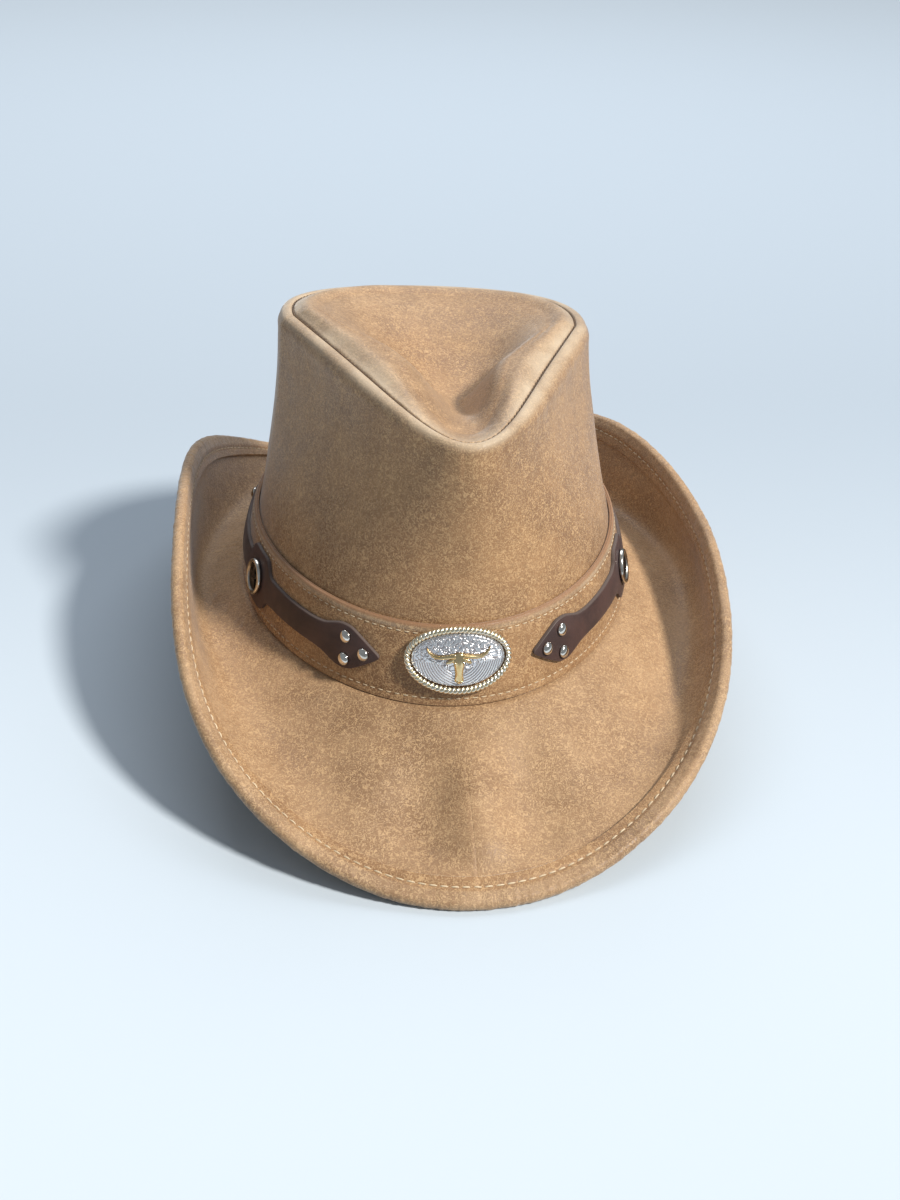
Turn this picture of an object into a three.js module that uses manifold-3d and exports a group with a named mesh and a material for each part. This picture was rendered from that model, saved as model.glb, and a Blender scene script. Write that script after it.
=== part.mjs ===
// Western (cowboy) hat in leather: crown, curled brim, hat band with two riveted straps,
// two star conchos and one oval front concho.
// Millimetres, +Z up. The front of the hat faces -Y, the wearer's left is +X.
import * as THREE from 'three';
import Module from 'manifold-3d';

const wasm = await Module();
wasm.setup();

// ---- driving dimensions -------------------------------------------------------------
const STATIONS = 48;          // sections round the hat

const BAND_A = 106;           // half length of the band's outer oval at its lower edge
const BAND_B = 90;            // half width of the same oval
const BAND_TAPER = 7.2;       // how much both half sizes shrink over the band's height
const BAND_SHIFT = 3.2;       // how far the oval moves back over the band's height
const BAND_EGG = 0.1;         // narrower towards the front
const BAND_HEIGHT = 33;
const BAND_THICK = 2.2;
const BAND_CLEAR = 0.3;       // band above the brim, and every layer to layer gap
const GAP = 0.3;

const LEATHER = 1.8;          // crown leather
const LINING = 0.6;
const SWEAT_THICK = 1.2;
const SWEAT_HEIGHT = 36;

const SEAM_HALF_WIDTH = 62.2; // top seam, seen from above: teardrop with its point in front
const SEAM_FRONT = 104.6;
const SEAM_REAR = 64.5;
const SEAM_SHIFT = 21.8;
const SEAM_PINCH = 0.72;
const SEAM_PINCH_SOFT = 0.3;
const SEAM_REAR_SWELL = 0.17;
const SEAM_LEAN = 2.8;         // the pinch sits a little towards the wearer's left
const SEAM_REAR_LEAN = 4.9;   // and so does the back of the crown
const SEAM_TILT = -3;         // rise of the wearer's left shoulder over the right one, halved
const SEAM_TOP = 117;         // height of the seam at the shoulders over the band line
const SEAM_FRONT_DROP = 7.9;
const SEAM_FRONT_POWER = 7.9;
const SEAM_REAR_DROP = 9.6;
const SHOULDER = 7;           // how far the wall swells past the seam
const DENT_X = 6;
const DENT_Z = 93;            // bottom of the dent in the top
const DENT_Y = -10;

const BRIM_FRONT = 183.5;      // centre line of the brim's edge
const BRIM_REAR = 183;
const BRIM_LEFT = 126.7;
const BRIM_RIGHT = 115;        // this side curls a little further in
const BRIM_POWER = 1.98;
const FLARE_LEFT = [7.6, -4];   // swell of each side's edge past the oval: front, rear
const FLARE_RIGHT = [14.9, 12];
const EDGE_LOW = -34;
const EDGE_HIGH = [40, 22];   // the wearer's right, and left
const EDGE_HUMP = [-6.5, 17]; // extra rise of the rear half of each side
const FALL_FRONT = 1.67;
const FALL_REAR = 2.8;
const REST = 1.04;            // levels the lowest stretch of the edge, front and rear
const REST_SOFT = 0.05;
const LEAVE_SIDE = -22;       // brim angles in degrees: leaving the crown, at the edge
const LEAVE_ENDS = -26;
const CURL_SIDE = 84;
const CURL_ENDS = -23;
const LEAVE_PULL = 0.48;
const CURL_PULL = 0.4;
const SKIN_IN = 0.15;         // the two brim leathers, measured from the middle surface
const SKIN_OUT = 1.5;
const HEM_IN = 1.8;
const HEM_OUT = 2.7;
const HEM_WIDTH = 9.5;
const WIRE_R = 1;
const FOOT = 0.5;             // depth of the flats the brim stands on

const STRAP_AT = 117;         // distance round the band from the front to each side concho
const STRAP_MID = 17;         // height of the strap's centre line
const STRAP_THICK = 1.8;
// distance from the side concho, half width
const STRAP_SHAPE = [
  [0, 11.6], [7.5, 11.4], [10.5, 9.4], [12.5, 6.9], [16, 5.6], [24, 5.4], [33, 5.3], [42, 5.3],
  [50, 5.4], [56, 6.1], [61, 7.8], [65, 8.9], [70, 8.6], [75, 6.2], [80, 3.2], [83.5, 0.9],
];
const RIVETS = [[68, 4.7], [68, -4.7], [77, 0]];
const RIVET_R = 2.5;
const SHANK_R = 1.0;
const HOLE_R = 1.3;

const CONCHO_R = 7.6;
const SCREW_R = 1.5;
const SCREW_HOLE_R = 1.8;

const OVAL_W = 22.4;           // front concho, half width and half height over the rope
const OVAL_H = 13.8;
const OVAL_MID = 20.3;
const ROPE_R = 1.35;
const ROPE_BEADS = 36;
const POST_X = 12;

// ---- small helpers ------------------------------------------------------------------
const V = (x, y, z) => new THREE.Vector3(x, y, z);
const TAU = Math.PI * 2;
const rad = THREE.MathUtils.degToRad;
const mix = THREE.MathUtils.lerp;
const step = THREE.MathUtils.smoothstep;
const power = (x, p) => Math.sign(x) * Math.abs(x) ** p;
const angles = Array.from({ length: STATIONS }, (_, i) => (TAU * i) / STATIONS);
const group = new THREE.Group();

function add(name, geometry, colour, roughness, metalness) {
  const mesh = new THREE.Mesh(
    geometry,
    new THREE.MeshStandardMaterial({ color: colour, roughness, metalness, name: `${name}_surface` }),
  );
  mesh.name = name;
  group.add(mesh);
}

function toGeometry(points, faces) {
  const geometry = new THREE.BufferGeometry();
  let volume = 0;
  for (let i = 0; i < faces.length; i += 3) {
    const [a, b, c] = [points[faces[i]], points[faces[i + 1]], points[faces[i + 2]]];
    volume += a.dot(b.clone().cross(c));
  }
  if (volume < 0) {
    for (let i = 0; i < faces.length; i += 3) {
      [faces[i], faces[i + 1]] = [faces[i + 1], faces[i]];
    }
  }
  geometry.setAttribute('position', new THREE.Float32BufferAttribute(points.flatMap((p) => p.toArray()), 3));
  geometry.setIndex(faces);
  return geometry;
}

// Rows of points round a closed loop. The list of rows closes on itself, or ends in two poles.
// Strips in the list of turned ones are split along their other diagonal, so that the two
// faces of one leather, and the next leather to it, bend the same way.
function loopSolid(rows, poles = null, turned = () => false) {
  const n = rows[0].length;
  const points = rows.flat();
  const faces = [];
  const last = poles ? rows.length - 1 : rows.length;
  for (let r = 0; r < last; r += 1) {
    const s = (r + 1) % rows.length;
    for (let i = 0; i < n; i += 1) {
      const j = (i + 1) % n;
      if (turned(r)) {
        faces.push(r * n + i, r * n + j, s * n + i, r * n + j, s * n + j, s * n + i);
      } else {
        faces.push(r * n + i, r * n + j, s * n + j, r * n + i, s * n + j, s * n + i);
      }
    }
  }
  if (poles) {
    const first = points.push(poles[0]) - 1;
    const final = points.push(poles[1]) - 1;
    const base = (rows.length - 1) * n;
    for (let i = 0; i < n; i += 1) {
      const j = (i + 1) % n;
      faces.push(first, j, i, final, base + i, base + j);
    }
  }
  return toGeometry(points, faces);
}

// Normals of a sheet of closed rows, and the sheet moved along them.
function normals(rows) {
  const n = rows[0].length;
  return rows.map((row, r) => row.map((_, i) => {
    const along = row[(i + 1) % n].clone().sub(row[(i + n - 1) % n]);
    const across = rows[Math.min(r + 1, rows.length - 1)][i].clone().sub(rows[Math.max(r - 1, 0)][i]);
    return along.cross(across).normalize();
  }));
}

function moved(rows, distance) {
  const out = normals(rows);
  return rows.map((row, r) => row.map((p, i) => p.clone().addScaledVector(out[r][i], distance)));
}

const sheet = (front, back) => loopSolid([...front, ...[...back].reverse()], null, (r) => r >= front.length);
const cap = (top, under, poles) => (
  loopSolid([...[...top].reverse(), ...under], poles, (r) => r < top.length)
);

function toManifold(geometry) {
  const keys = new Map();
  const points = [];
  const faces = [];
  const position = geometry.getAttribute('position');
  const index = geometry.index ? geometry.index.array : [...Array(position.count).keys()];
  for (const i of index) {
    const p = [position.getX(i), position.getY(i), position.getZ(i)];
    const key = p.map((x) => Math.round(x * 1e4)).join();
    if (!keys.has(key)) {
      keys.set(key, points.length / 3);
      points.push(...p);
    }
    faces.push(keys.get(key));
  }
  const kept = [];
  for (let i = 0; i < faces.length; i += 3) {
    const [a, b, c] = faces.slice(i, i + 3);
    if (a !== b && b !== c && c !== a) kept.push(a, b, c);
  }
  return new wasm.Manifold(new wasm.Mesh({
    numProp: 3, vertProperties: new Float32Array(points), triVerts: new Uint32Array(kept),
  }));
}

function fromManifold(solid) {
  const mesh = solid.getMesh();
  const geometry = new THREE.BufferGeometry();
  const flat = [];
  for (let i = 0; i < mesh.vertProperties.length; i += mesh.numProp) {
    flat.push(...mesh.vertProperties.slice(i, i + 3));
  }
  geometry.setAttribute('position', new THREE.Float32BufferAttribute(flat, 3));
  geometry.setIndex([...mesh.triVerts]);
  return geometry;
}

const cut = (geometry, tools) => fromManifold(
  tools.reduce((solid, tool) => solid.subtract(toManifold(tool)), toManifold(geometry)),
);

// ---- band oval, and a map from flat leather to the band's outer face ------------------
function oval(th, w, off) {
  const k = w / BAND_HEIGHT;
  const a = BAND_A - BAND_TAPER * k + off;
  const b = BAND_B - BAND_TAPER * k + off;
  return V(b * Math.sin(th) * (1 - BAND_EGG * Math.cos(th)), BAND_SHIFT * k - a * Math.cos(th), w);
}

const arcSteps = 1440;
const arcLength = [0];
for (let i = 1; i <= arcSteps; i += 1) {
  const a = oval((Math.PI * (i - 1)) / arcSteps, STRAP_MID, 0);
  arcLength.push(arcLength[i - 1] + a.distanceTo(oval((Math.PI * i) / arcSteps, STRAP_MID, 0)));
}

function onBand(s, w, off) {
  const i = Math.max(1, arcLength.findIndex((x) => x >= Math.abs(s)));
  const part = (Math.abs(s) - arcLength[i - 1]) / (arcLength[i] - arcLength[i - 1]);
  return oval(Math.sign(s) * Math.PI * ((i - 1 + part) / arcSteps), w, off);
}

// A geometry drawn flat (x along the band, y up it, z out of it) and laid on the band.
function wrapped(geometry, s0, w0) {
  const solid = fromManifold(toManifold(geometry));
  const position = solid.getAttribute('position');
  for (let i = 0; i < position.count; i += 1) {
    const p = onBand(s0 + position.getX(i), w0 + position.getY(i), position.getZ(i));
    position.setXYZ(i, p.x, p.y, p.z);
  }
  return solid;
}

// A turned part whose axis points out of the band.
function turned(profile, segments) {
  const lathe = new THREE.LatheGeometry(profile.map(([r, z]) => new THREE.Vector2(r, z)), segments);
  return lathe.rotateX(Math.PI / 2);
}

const plug = (radius) => turned([[0, -8], [radius, -8], [radius, 8], [0, 8]], 10);

// ---- crown ----------------------------------------------------------------------------
function seam(th) {
  const c = Math.cos(th);
  const s = Math.sin(th);
  const [front, rear] = [Math.max(c, 0), Math.max(-c, 0)];
  const swell = c > 0 ? SEAM_PINCH_SOFT * c * c - SEAM_PINCH * c : -SEAM_REAR_SWELL * c;
  const x = SEAM_HALF_WIDTH * s * (1 + swell) + SEAM_LEAN * front ** 3 + SEAM_REAR_LEAN * rear ** 2;
  const y = SEAM_SHIFT - (c > 0 ? SEAM_FRONT : SEAM_REAR) * c;
  const drop = SEAM_FRONT_DROP * ((1 + c) / 2) ** SEAM_FRONT_POWER + SEAM_REAR_DROP * rear ** 1.5;
  return V(x, y, SEAM_TOP + SEAM_TILT * s - drop);
}

const seamRow = angles.map(seam);
const outward = normals([seamRow, seamRow.map((p) => p.clone().setZ(p.z + 1))])[0]
  .map((p) => p.setZ(0).normalize());
const fullness = angles.map((th) => step(Math.abs(Math.atan2(Math.sin(th), Math.cos(th))), 0.15, 0.95));

const SHOULDER_SHAPE = [[1, -8.5], [0.97, -4.8], [0.74, -1.4], [0.4, -0.1], [0.17, -0.5], [0.07, -1.9]];
const shoulderRows = SHOULDER_SHAPE.map(([out, z]) => seamRow.map((p, i) => {
  const size = mix(0.5, 1, fullness[i]);
  return p.clone().addScaledVector(outward[i], Math.max(out * SHOULDER * size, 0.45)).setZ(p.z + z * size);
}));

const WALL_TOP = -BAND_THICK - GAP;
const wallFoot = [GAP, BAND_HEIGHT].map((w) => angles.map((th) => oval(th, w, WALL_TOP)));
const wallRise = [0.2, 0.45, 0.72].map((t) => angles.map((th, i) => {
  const a = wallFoot[1][i];
  const d = shoulderRows[0][i];
  const slope = a.clone().sub(wallFoot[0][i]).normalize();
  const b = a.clone().addScaledVector(slope, 26);
  const c = d.clone().setZ(d.z - 26).addScaledVector(outward[i], 1.5);
  return new THREE.CubicBezierCurve3(a, b, c, d).getPoint(t);
}));
const wallOuter = [...wallFoot, ...wallRise, ...shoulderRows];
const SHOULDER_UNDER = [[-1, -0.1], [-0.95, -0.35], [-0.7, -0.9], [-0.15, -1.15], [0.2, -1.15], [0.1, -0.8]];
const wallInner = [
  ...moved(wallOuter, -LEATHER).slice(0, -SHOULDER_UNDER.length),
  ...SHOULDER_UNDER.map(([out, z], r) => shoulderRows[r].map((p, i) => p.clone()
    .addScaledVector(outward[i], out * LEATHER).setZ(p.z + z * LEATHER))),
];
wallInner[0].forEach((p) => p.setZ(GAP));
add('crown_wall', sheet(wallOuter, wallInner), 0x9c7450, 0.6, 0);

// Distance in from the seam and height over it, with and without the rounded ridge.
const RIDGE = [[0.45, -1.9, -1.9], [1.1, -0.4, -0.5], [2.6, 0.9, -0.9], [8, 3.5, -2.4], [15, 2, -4.6]];
const BOWL = [0.82, 0.62, 0.42, 0.2];
const centre = V(DENT_X, DENT_Y, DENT_Z);
const inward = seamRow.map((p) => centre.clone().sub(p).setZ(0));
const tipRows = RIDGE.map(([d, ridge, plain]) => seamRow.map((p, i) => p.clone()
  .addScaledVector(inward[i].clone().normalize(), d)
  .setZ(p.z + mix(plain, ridge, fullness[i]))));
const rim = tipRows[tipRows.length - 1];
for (const t of BOWL) {
  tipRows.push(rim.map((p) => centre.clone().lerp(p, t).setZ(mix(DENT_Z, p.z, t * t * (3 - 2 * t)))));
}
const TIP_UNDER = [0, 0.25, 0.2];
const tipUnder = [
  ...TIP_UNDER.map((d, r) => tipRows[r].map((p, i) => p.clone()
    .addScaledVector(inward[i].clone().normalize(), d * LEATHER).setZ(p.z - LEATHER))),
  ...moved(tipRows, -LEATHER).slice(TIP_UNDER.length),
];
const tipPoles = [centre.clone(), centre.clone().setZ(DENT_Z - LEATHER)];
add('crown_tip', cap(tipRows, tipUnder, tipPoles), 0xa07a55, 0.6, 0);

// Cloth lining: up behind the sweatband, in under the shoulder and below the dent.
const LINE_OUT = LEATHER + GAP;
const LINE_FOOT = 3;
const linerFoot = (off) => angles.map((th) => oval(th, LINE_FOOT, WALL_TOP - LINE_OUT - 0.1 - off));
const linerRows = [
  linerFoot(0),
  ...moved(wallOuter, -LINE_OUT).slice(1, 6),
  seamRow.map((p, i) => p.clone().addScaledVector(outward[i], -1).setZ(p.z - 8.5)),
  ...moved(tipRows, -LINE_OUT - 2.4).slice(3),
];
const linerCentre = DENT_Z - LINE_OUT - 2.4;
const linerInner = [linerFoot(LINING), ...moved(linerRows, -LINING).slice(1)];
const linerPoles = [V(DENT_X, DENT_Y, linerCentre), V(DENT_X, DENT_Y, linerCentre - LINING)];
add('crown_lining', cap(linerRows, linerInner, linerPoles), 0x4a3226, 0.7, 0);

// ---- sweatband ------------------------------------------------------------------------
const SWEAT_OUT = WALL_TOP - LEATHER - LINING - 3 * GAP;
const sweat = (off) => [-1.5, SWEAT_HEIGHT].map((w) => angles.map((th) => oval(th, w, off)));
add('sweatband', sheet(sweat(SWEAT_OUT), sweat(SWEAT_OUT - SWEAT_THICK)), 0x6b4a32, 0.7, 0);

// ---- brim -----------------------------------------------------------------------------
function brimEdge(th) {
  const c = Math.cos(th);
  const s = Math.sin(th);
  const left = 1 - REST * Math.abs(c) ** (c > 0 ? FALL_FRONT : FALL_REAR);
  const end = 1 - (left + Math.hypot(left, REST_SOFT)) / 2;
  const side = s > 0 ? 1 : 0;
  const corner = Math.sin(2 * th) ** 2;
  const flare = (s > 0 ? FLARE_LEFT : FLARE_RIGHT)[c > 0 ? 0 : 1];
  const half = (s > 0 ? BRIM_LEFT : BRIM_RIGHT) * power(s, 2 / BRIM_POWER);
  const x = half + Math.sign(s) * flare * corner;
  const y = -(c > 0 ? BRIM_FRONT : BRIM_REAR) * power(c, 2 / BRIM_POWER);
  return V(x, y, mix(EDGE_HIGH[side], EDGE_LOW, end) + (c > 0 ? 0 : EDGE_HUMP[side] * corner));
}

const MID_Z = -SKIN_OUT;
const brimCurves = angles.map((th) => {
  const base = oval(th, 0, 1).setZ(MID_Z);
  const edge = brimEdge(th);
  const reach = edge.clone().sub(base);
  const flat = reach.clone().setZ(0).normalize();
  const side = Math.sin(th) ** 2;
  const leave = rad(mix(LEAVE_ENDS, LEAVE_SIDE, side));
  const curl = rad(mix(CURL_ENDS, CURL_SIDE, side));
  const pull = Math.max(reach.length(), 76);
  const direction = (angle) => flat.clone().multiplyScalar(Math.cos(angle)).setZ(Math.sin(angle));
  return new THREE.CubicBezierCurve3(
    base,
    base.clone().addScaledVector(direction(leave), pull * LEAVE_PULL),
    edge.clone().addScaledVector(direction(curl), -pull * CURL_PULL),
    edge,
  );
});
const brimWidth = brimCurves.map((curve) => curve.getLength());
const shelf = angles.map((th) => oval(th, 0, SWEAT_OUT + 3 * GAP).setZ(MID_Z));

function brimRow(distance) {
  return brimCurves.map((curve, i) => curve.getPointAt(Math.max(0, 1 - distance / brimWidth[i])));
}

const STOPS = [0, 0.12, 0.3, 0.5, 0.68];
const HEM_STOPS = [HEM_WIDTH, 4.5, 0.6, 0];
const brimRows = [
  shelf,
  ...STOPS.map((t) => brimCurves.map((curve) => curve.getPointAt(t))),
  ...HEM_STOPS.map(brimRow),
];
const brimUp = normals(brimRows).map((row) => row.map((p) => p.negate()));
const lifted = (r, off) => brimRows[r].map((p, i) => p.clone().addScaledVector(brimUp[r][i], off));
const skinRows = brimRows.slice(0, -1).map((_, r) => r);
const skin = (off) => skinRows.map((r) => lifted(r, off));
add('brim_top', sheet(skin(SKIN_OUT), skin(SKIN_IN)), 0x9c7450, 0.6, 0);
add('brim_under', sheet(skin(-SKIN_IN), skin(-SKIN_OUT)), 0x8a6544, 0.65, 0);

// Round the brim's edge: outwards along the brim, and up out of its upper face.
const last = brimRows.length - 1;
const edgeOut = brimRows[last].map((p, i) => p.clone().sub(brimRows[last - 2][i]).normalize());
const edgeRing = (radius, angle, shift) => brimRows[last].map((p, i) => p.clone()
  .addScaledVector(edgeOut[i], shift + radius * Math.cos(angle))
  .addScaledVector(brimUp[last][i], radius * Math.sin(angle)));

const HEM_ROWS = [last - 3, last - 2, last];
const BEND = [50, 0, -50].map(rad);
const hemTurn = (off) => BEND.map((a) => edgeRing(off, a, 0.4));
const hemSide = (off) => [
  ...HEM_ROWS.map((r) => lifted(r, off)),
  ...hemTurn(off),
  ...[...HEM_ROWS].reverse().map((r) => lifted(r, -off)),
];
const hemTurned = (r) => (r >= 5 && r < 9) || r >= 14;
const hem = loopSolid([...hemSide(HEM_OUT), ...hemSide(HEM_IN).reverse()], null, hemTurned);
hem.computeBoundingBox();
const FLOOR = hem.boundingBox.min.z + FOOT;
const ground = new THREE.BoxGeometry(500, 500, 40).translate(0, 0, FLOOR - 20);
add('brim_hem', cut(hem, [ground]), 0x8f6847, 0.6, 0);

const wireRows = [0, 60, 120, 180, 240, 300].map((a) => edgeRing(WIRE_R, rad(a), WIRE_R - 0.2));
add('brim_wire', loopSolid(wireRows), 0x8d8f92, 0.35, 1);

// ---- hat band ---------------------------------------------------------------------------
const sides = [['right', -1], ['left', 1]];
const ends = [['front', -1], ['rear', 1]];
const bandFace = (off) => [BAND_CLEAR, BAND_HEIGHT].map((w) => angles.map((th) => oval(th, w, off)));
const rivetHoles = sides.flatMap(([, side]) => ends.flatMap(([, end]) => RIVETS.map(([d, w]) => (
  wrapped(plug(HOLE_R), side * (STRAP_AT + end * d), STRAP_MID + w)
))));
const screwHoles = sides.map(([, side]) => wrapped(plug(SCREW_HOLE_R), side * STRAP_AT, STRAP_MID));
const postHoles = sides.map(([, side]) => wrapped(plug(HOLE_R), side * POST_X, OVAL_MID));
add('hat_band', cut(sheet(bandFace(0), bandFace(-BAND_THICK)), [...rivetHoles, ...screwHoles, ...postHoles]),
  0x96683f, 0.6, 0);

// ---- straps, rivets and side conchos ------------------------------------------------------
const shape = [
  ...[...STRAP_SHAPE].reverse().map(([d, w]) => [-d, w]),
  ...STRAP_SHAPE.slice(1),
];

function strap(side) {
  const rows = shape.map(([d, w]) => {
    const s = side * STRAP_AT + d;
    return [
      onBand(s, STRAP_MID - w, GAP), onBand(s, STRAP_MID + w, GAP),
      onBand(s, STRAP_MID + w, GAP + STRAP_THICK), onBand(s, STRAP_MID - w, GAP + STRAP_THICK),
    ];
  });
  const tip = (i) => onBand(side * STRAP_AT + shape[i][0] * 1.004, STRAP_MID, GAP + STRAP_THICK / 2);
  return loopSolid(rows, [tip(0), tip(shape.length - 1)]);
}

const ON_STRAP = 2 * GAP + STRAP_THICK;
const rivet = turned([
  [0, 0.1 - BAND_THICK], [SHANK_R, 0.1 - BAND_THICK], [SHANK_R, ON_STRAP], [RIVET_R, ON_STRAP],
  [RIVET_R, ON_STRAP + 0.5], [RIVET_R * 0.75, ON_STRAP + 1.25], [0, ON_STRAP + 1.7],
], 8);
const conchoCup = turned([
  [0, ON_STRAP], [CONCHO_R - 0.4, ON_STRAP], [CONCHO_R, ON_STRAP + 0.9], [CONCHO_R - 0.7, ON_STRAP + 2],
  [CONCHO_R - 1.5, ON_STRAP + 1.8], [CONCHO_R - 1.8, ON_STRAP + 0.9], [0, ON_STRAP + 0.9],
], 20);
const screw = turned([
  [0, 0.1 - BAND_THICK], [SCREW_R, 0.1 - BAND_THICK], [SCREW_R, ON_STRAP - GAP], [0, ON_STRAP - GAP],
], 12);

function star() {
  const z = ON_STRAP + 0.9 + GAP;
  const outline = [...Array(10).keys()].map((i) => {
    const r = i % 2 ? 2.1 : 5.2;
    const a = Math.PI / 2 + (Math.PI * i) / 5;
    return V(r * Math.cos(a), r * Math.sin(a), 0);
  });
  const low = outline.map((p) => p.clone().setZ(z));
  const high = outline.map((p) => p.clone().setZ(z + 0.25));
  return loopSolid([low, high], [V(0, 0, z), V(0, 0, z + 1.2)]);
}

for (const [name, side] of sides) {
  const s = side * STRAP_AT;
  const holes = ends.flatMap(([, end]) => RIVETS.map(([d, w]) => (
    wrapped(plug(HOLE_R), side * (STRAP_AT + end * d), STRAP_MID + w)
  )));
  holes.push(wrapped(plug(SCREW_HOLE_R), s, STRAP_MID));
  add(`strap_${name}`, cut(strap(side), holes), 0x3a2a28, 0.55, 0);
  for (const [end, way] of ends) {
    RIVETS.forEach(([d, w], i) => {
      const geometry = wrapped(rivet, side * (STRAP_AT + way * d), STRAP_MID + w);
      add(`rivet_${name}_${end}_${i + 1}`, geometry, 0xd8d4cc, 0.25, 1);
    });
  }
  add(`side_concho_${name}`, wrapped(conchoCup, s, STRAP_MID), 0xcfcac2, 0.28, 1);
  add(`side_star_${name}`, wrapped(star(), s, STRAP_MID), 0x4a4a4c, 0.4, 1);
  add(`side_screw_${name}`, wrapped(screw, s, STRAP_MID), 0xa9a6a0, 0.35, 1);
}

// ---- front concho ---------------------------------------------------------------------------
const around = (n, rx, ry, z) => Array.from({ length: n }, (_, i) => (
  V(rx * Math.cos((TAU * i) / n), ry * Math.sin((TAU * i) / n), z)
));
const PLATE_Z = 2 * GAP;
const inner = 2 * ROPE_R + GAP;
const plate = loopSolid([
  around(40, (OVAL_W - inner) * 0.5, (OVAL_H - inner) * 0.5, PLATE_Z),
  around(40, OVAL_W - inner, OVAL_H - inner, PLATE_Z),
  around(40, OVAL_W - inner, OVAL_H - inner, PLATE_Z + 1.2),
  around(40, (OVAL_W - inner) * 0.6, (OVAL_H - inner) * 0.6, PLATE_Z + 1.5),
], [V(0, 0, PLATE_Z), V(0, 0, PLATE_Z + 1.6)]);
add('front_concho_plate', wrapped(plate, 0, OVAL_MID), 0xc9ccd2, 0.25, 1);

const rope = [0, 60, 120, 180, 240, 300].map((deg) => {
  const a = rad(deg);
  return Array.from({ length: 2 * ROPE_BEADS }, (_, i) => {
    const u = (TAU * i) / (2 * ROPE_BEADS);
    const r = ROPE_R * (i % 2 ? 1 : 0.8);
    const reach = r * Math.cos(a);
    return V(
      (OVAL_W - ROPE_R + reach) * Math.cos(u),
      (OVAL_H - ROPE_R + reach) * Math.sin(u),
      PLATE_Z + ROPE_R + r * Math.sin(a),
    );
  });
});
add('front_concho_rope', wrapped(loopSolid(rope), 0, OVAL_MID), 0xd9c79a, 0.3, 1);

// Steer's head in low relief: one half outline, mirrored.
const HEAD = [
  [0, -8.6], [1.5, -8.2], [2.1, -6.6], [2.0, -4.6], [2.5, -2], [3.2, -0.6], [5.3, -1.1], [5, 0],
  [3.5, 0.7], [5.8, 1.2], [9, 1.0], [11.4, 2.0], [13.2, 4.8], [12.2, 4.8], [10.4, 3.4], [8.2, 2.9],
  [5.2, 3.3], [2.6, 3.1], [0, 3.5],
];
const headShape = new THREE.Shape([
  ...HEAD.map(([x, y]) => new THREE.Vector2(x, y)),
  ...HEAD.slice(1, -1).reverse().map(([x, y]) => new THREE.Vector2(-x, y)),
]);
const head = new THREE.ExtrudeGeometry(headShape, {
  depth: 0.7, bevelEnabled: true, bevelThickness: 0.45, bevelSize: -0.35, bevelSegments: 1, steps: 1,
}).translate(0, 0, PLATE_Z + 1.9 + GAP + 0.45);
add('front_emblem', wrapped(head, 0, OVAL_MID), 0xc9a45c, 0.3, 1);

const post = turned([
  [0, 0.1 - BAND_THICK], [SHANK_R, 0.1 - BAND_THICK], [SHANK_R, PLATE_Z - GAP], [0, PLATE_Z - GAP],
], 8);
for (const [name, side] of sides) {
  add(`front_post_${name}`, wrapped(post, side * POST_X, OVAL_MID), 0xa9a6a0, 0.35, 1);
}

// ---- stand the hat on the floor, centred ------------------------------------------------------
const box = new THREE.Box3().setFromObject(group);
const home = V(-(box.min.x + box.max.x) / 2, -(box.min.y + box.max.y) / 2, -FLOOR);
for (const mesh of group.children) {
  mesh.geometry.translate(home.x, home.y, home.z);
}

export default group;
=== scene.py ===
"""Western (cowboy) hat in distressed leather: the visible pieces, their materials, light and camera.

Shapes are worked out in millimetres round the band line, the oval where the hat band meets the
brim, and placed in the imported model's frame. The front of the hat faces -Y, +X is the wearer's
left, and an angle round the hat starts at the front and grows towards +X.
"""
import itertools
import math

import bpy
import numpy as np
from mathutils import Matrix, Vector


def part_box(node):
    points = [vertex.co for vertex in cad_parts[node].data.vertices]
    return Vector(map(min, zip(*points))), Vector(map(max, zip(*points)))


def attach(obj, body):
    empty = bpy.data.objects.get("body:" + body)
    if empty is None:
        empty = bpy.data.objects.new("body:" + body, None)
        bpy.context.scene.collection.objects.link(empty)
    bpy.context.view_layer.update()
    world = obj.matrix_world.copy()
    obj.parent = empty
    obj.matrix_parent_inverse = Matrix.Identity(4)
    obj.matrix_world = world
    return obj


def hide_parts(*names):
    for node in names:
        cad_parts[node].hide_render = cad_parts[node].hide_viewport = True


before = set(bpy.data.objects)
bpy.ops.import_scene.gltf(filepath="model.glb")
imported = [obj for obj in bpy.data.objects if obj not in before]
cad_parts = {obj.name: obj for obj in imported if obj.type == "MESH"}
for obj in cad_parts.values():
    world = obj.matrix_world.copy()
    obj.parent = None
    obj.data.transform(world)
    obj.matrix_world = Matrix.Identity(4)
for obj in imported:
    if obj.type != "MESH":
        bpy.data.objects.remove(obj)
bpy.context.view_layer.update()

TAU = 2 * math.pi
MM = 0.001

# ---- where the band line is ----
BAND_GAP = 0.3
low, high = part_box("hat_band")
BAND_CENTRE = np.array([(low.x + high.x) / 2, (low.y + high.y) / 2, low.z - BAND_GAP * MM])
FLOOR = -BAND_CENTRE[2] / MM   # height of the floor under the band line

# ---- driving dimensions, mm ----
BAND_A = 106.0                 # half length of the band's outer oval at its lower edge
BAND_B = 90.0
BAND_TAPER = 7.2
BAND_SHIFT = 3.2               # the oval moves back this far over the band's height
BAND_EGG = 0.1
BAND_HEIGHT = 33.0
BAND_THICK = 2.2
GAP = 0.3

LEATHER = 1.8
LINING = 0.6
SWEAT_THICK = 1.2
SWEAT_HEIGHT = 36.0

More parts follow.
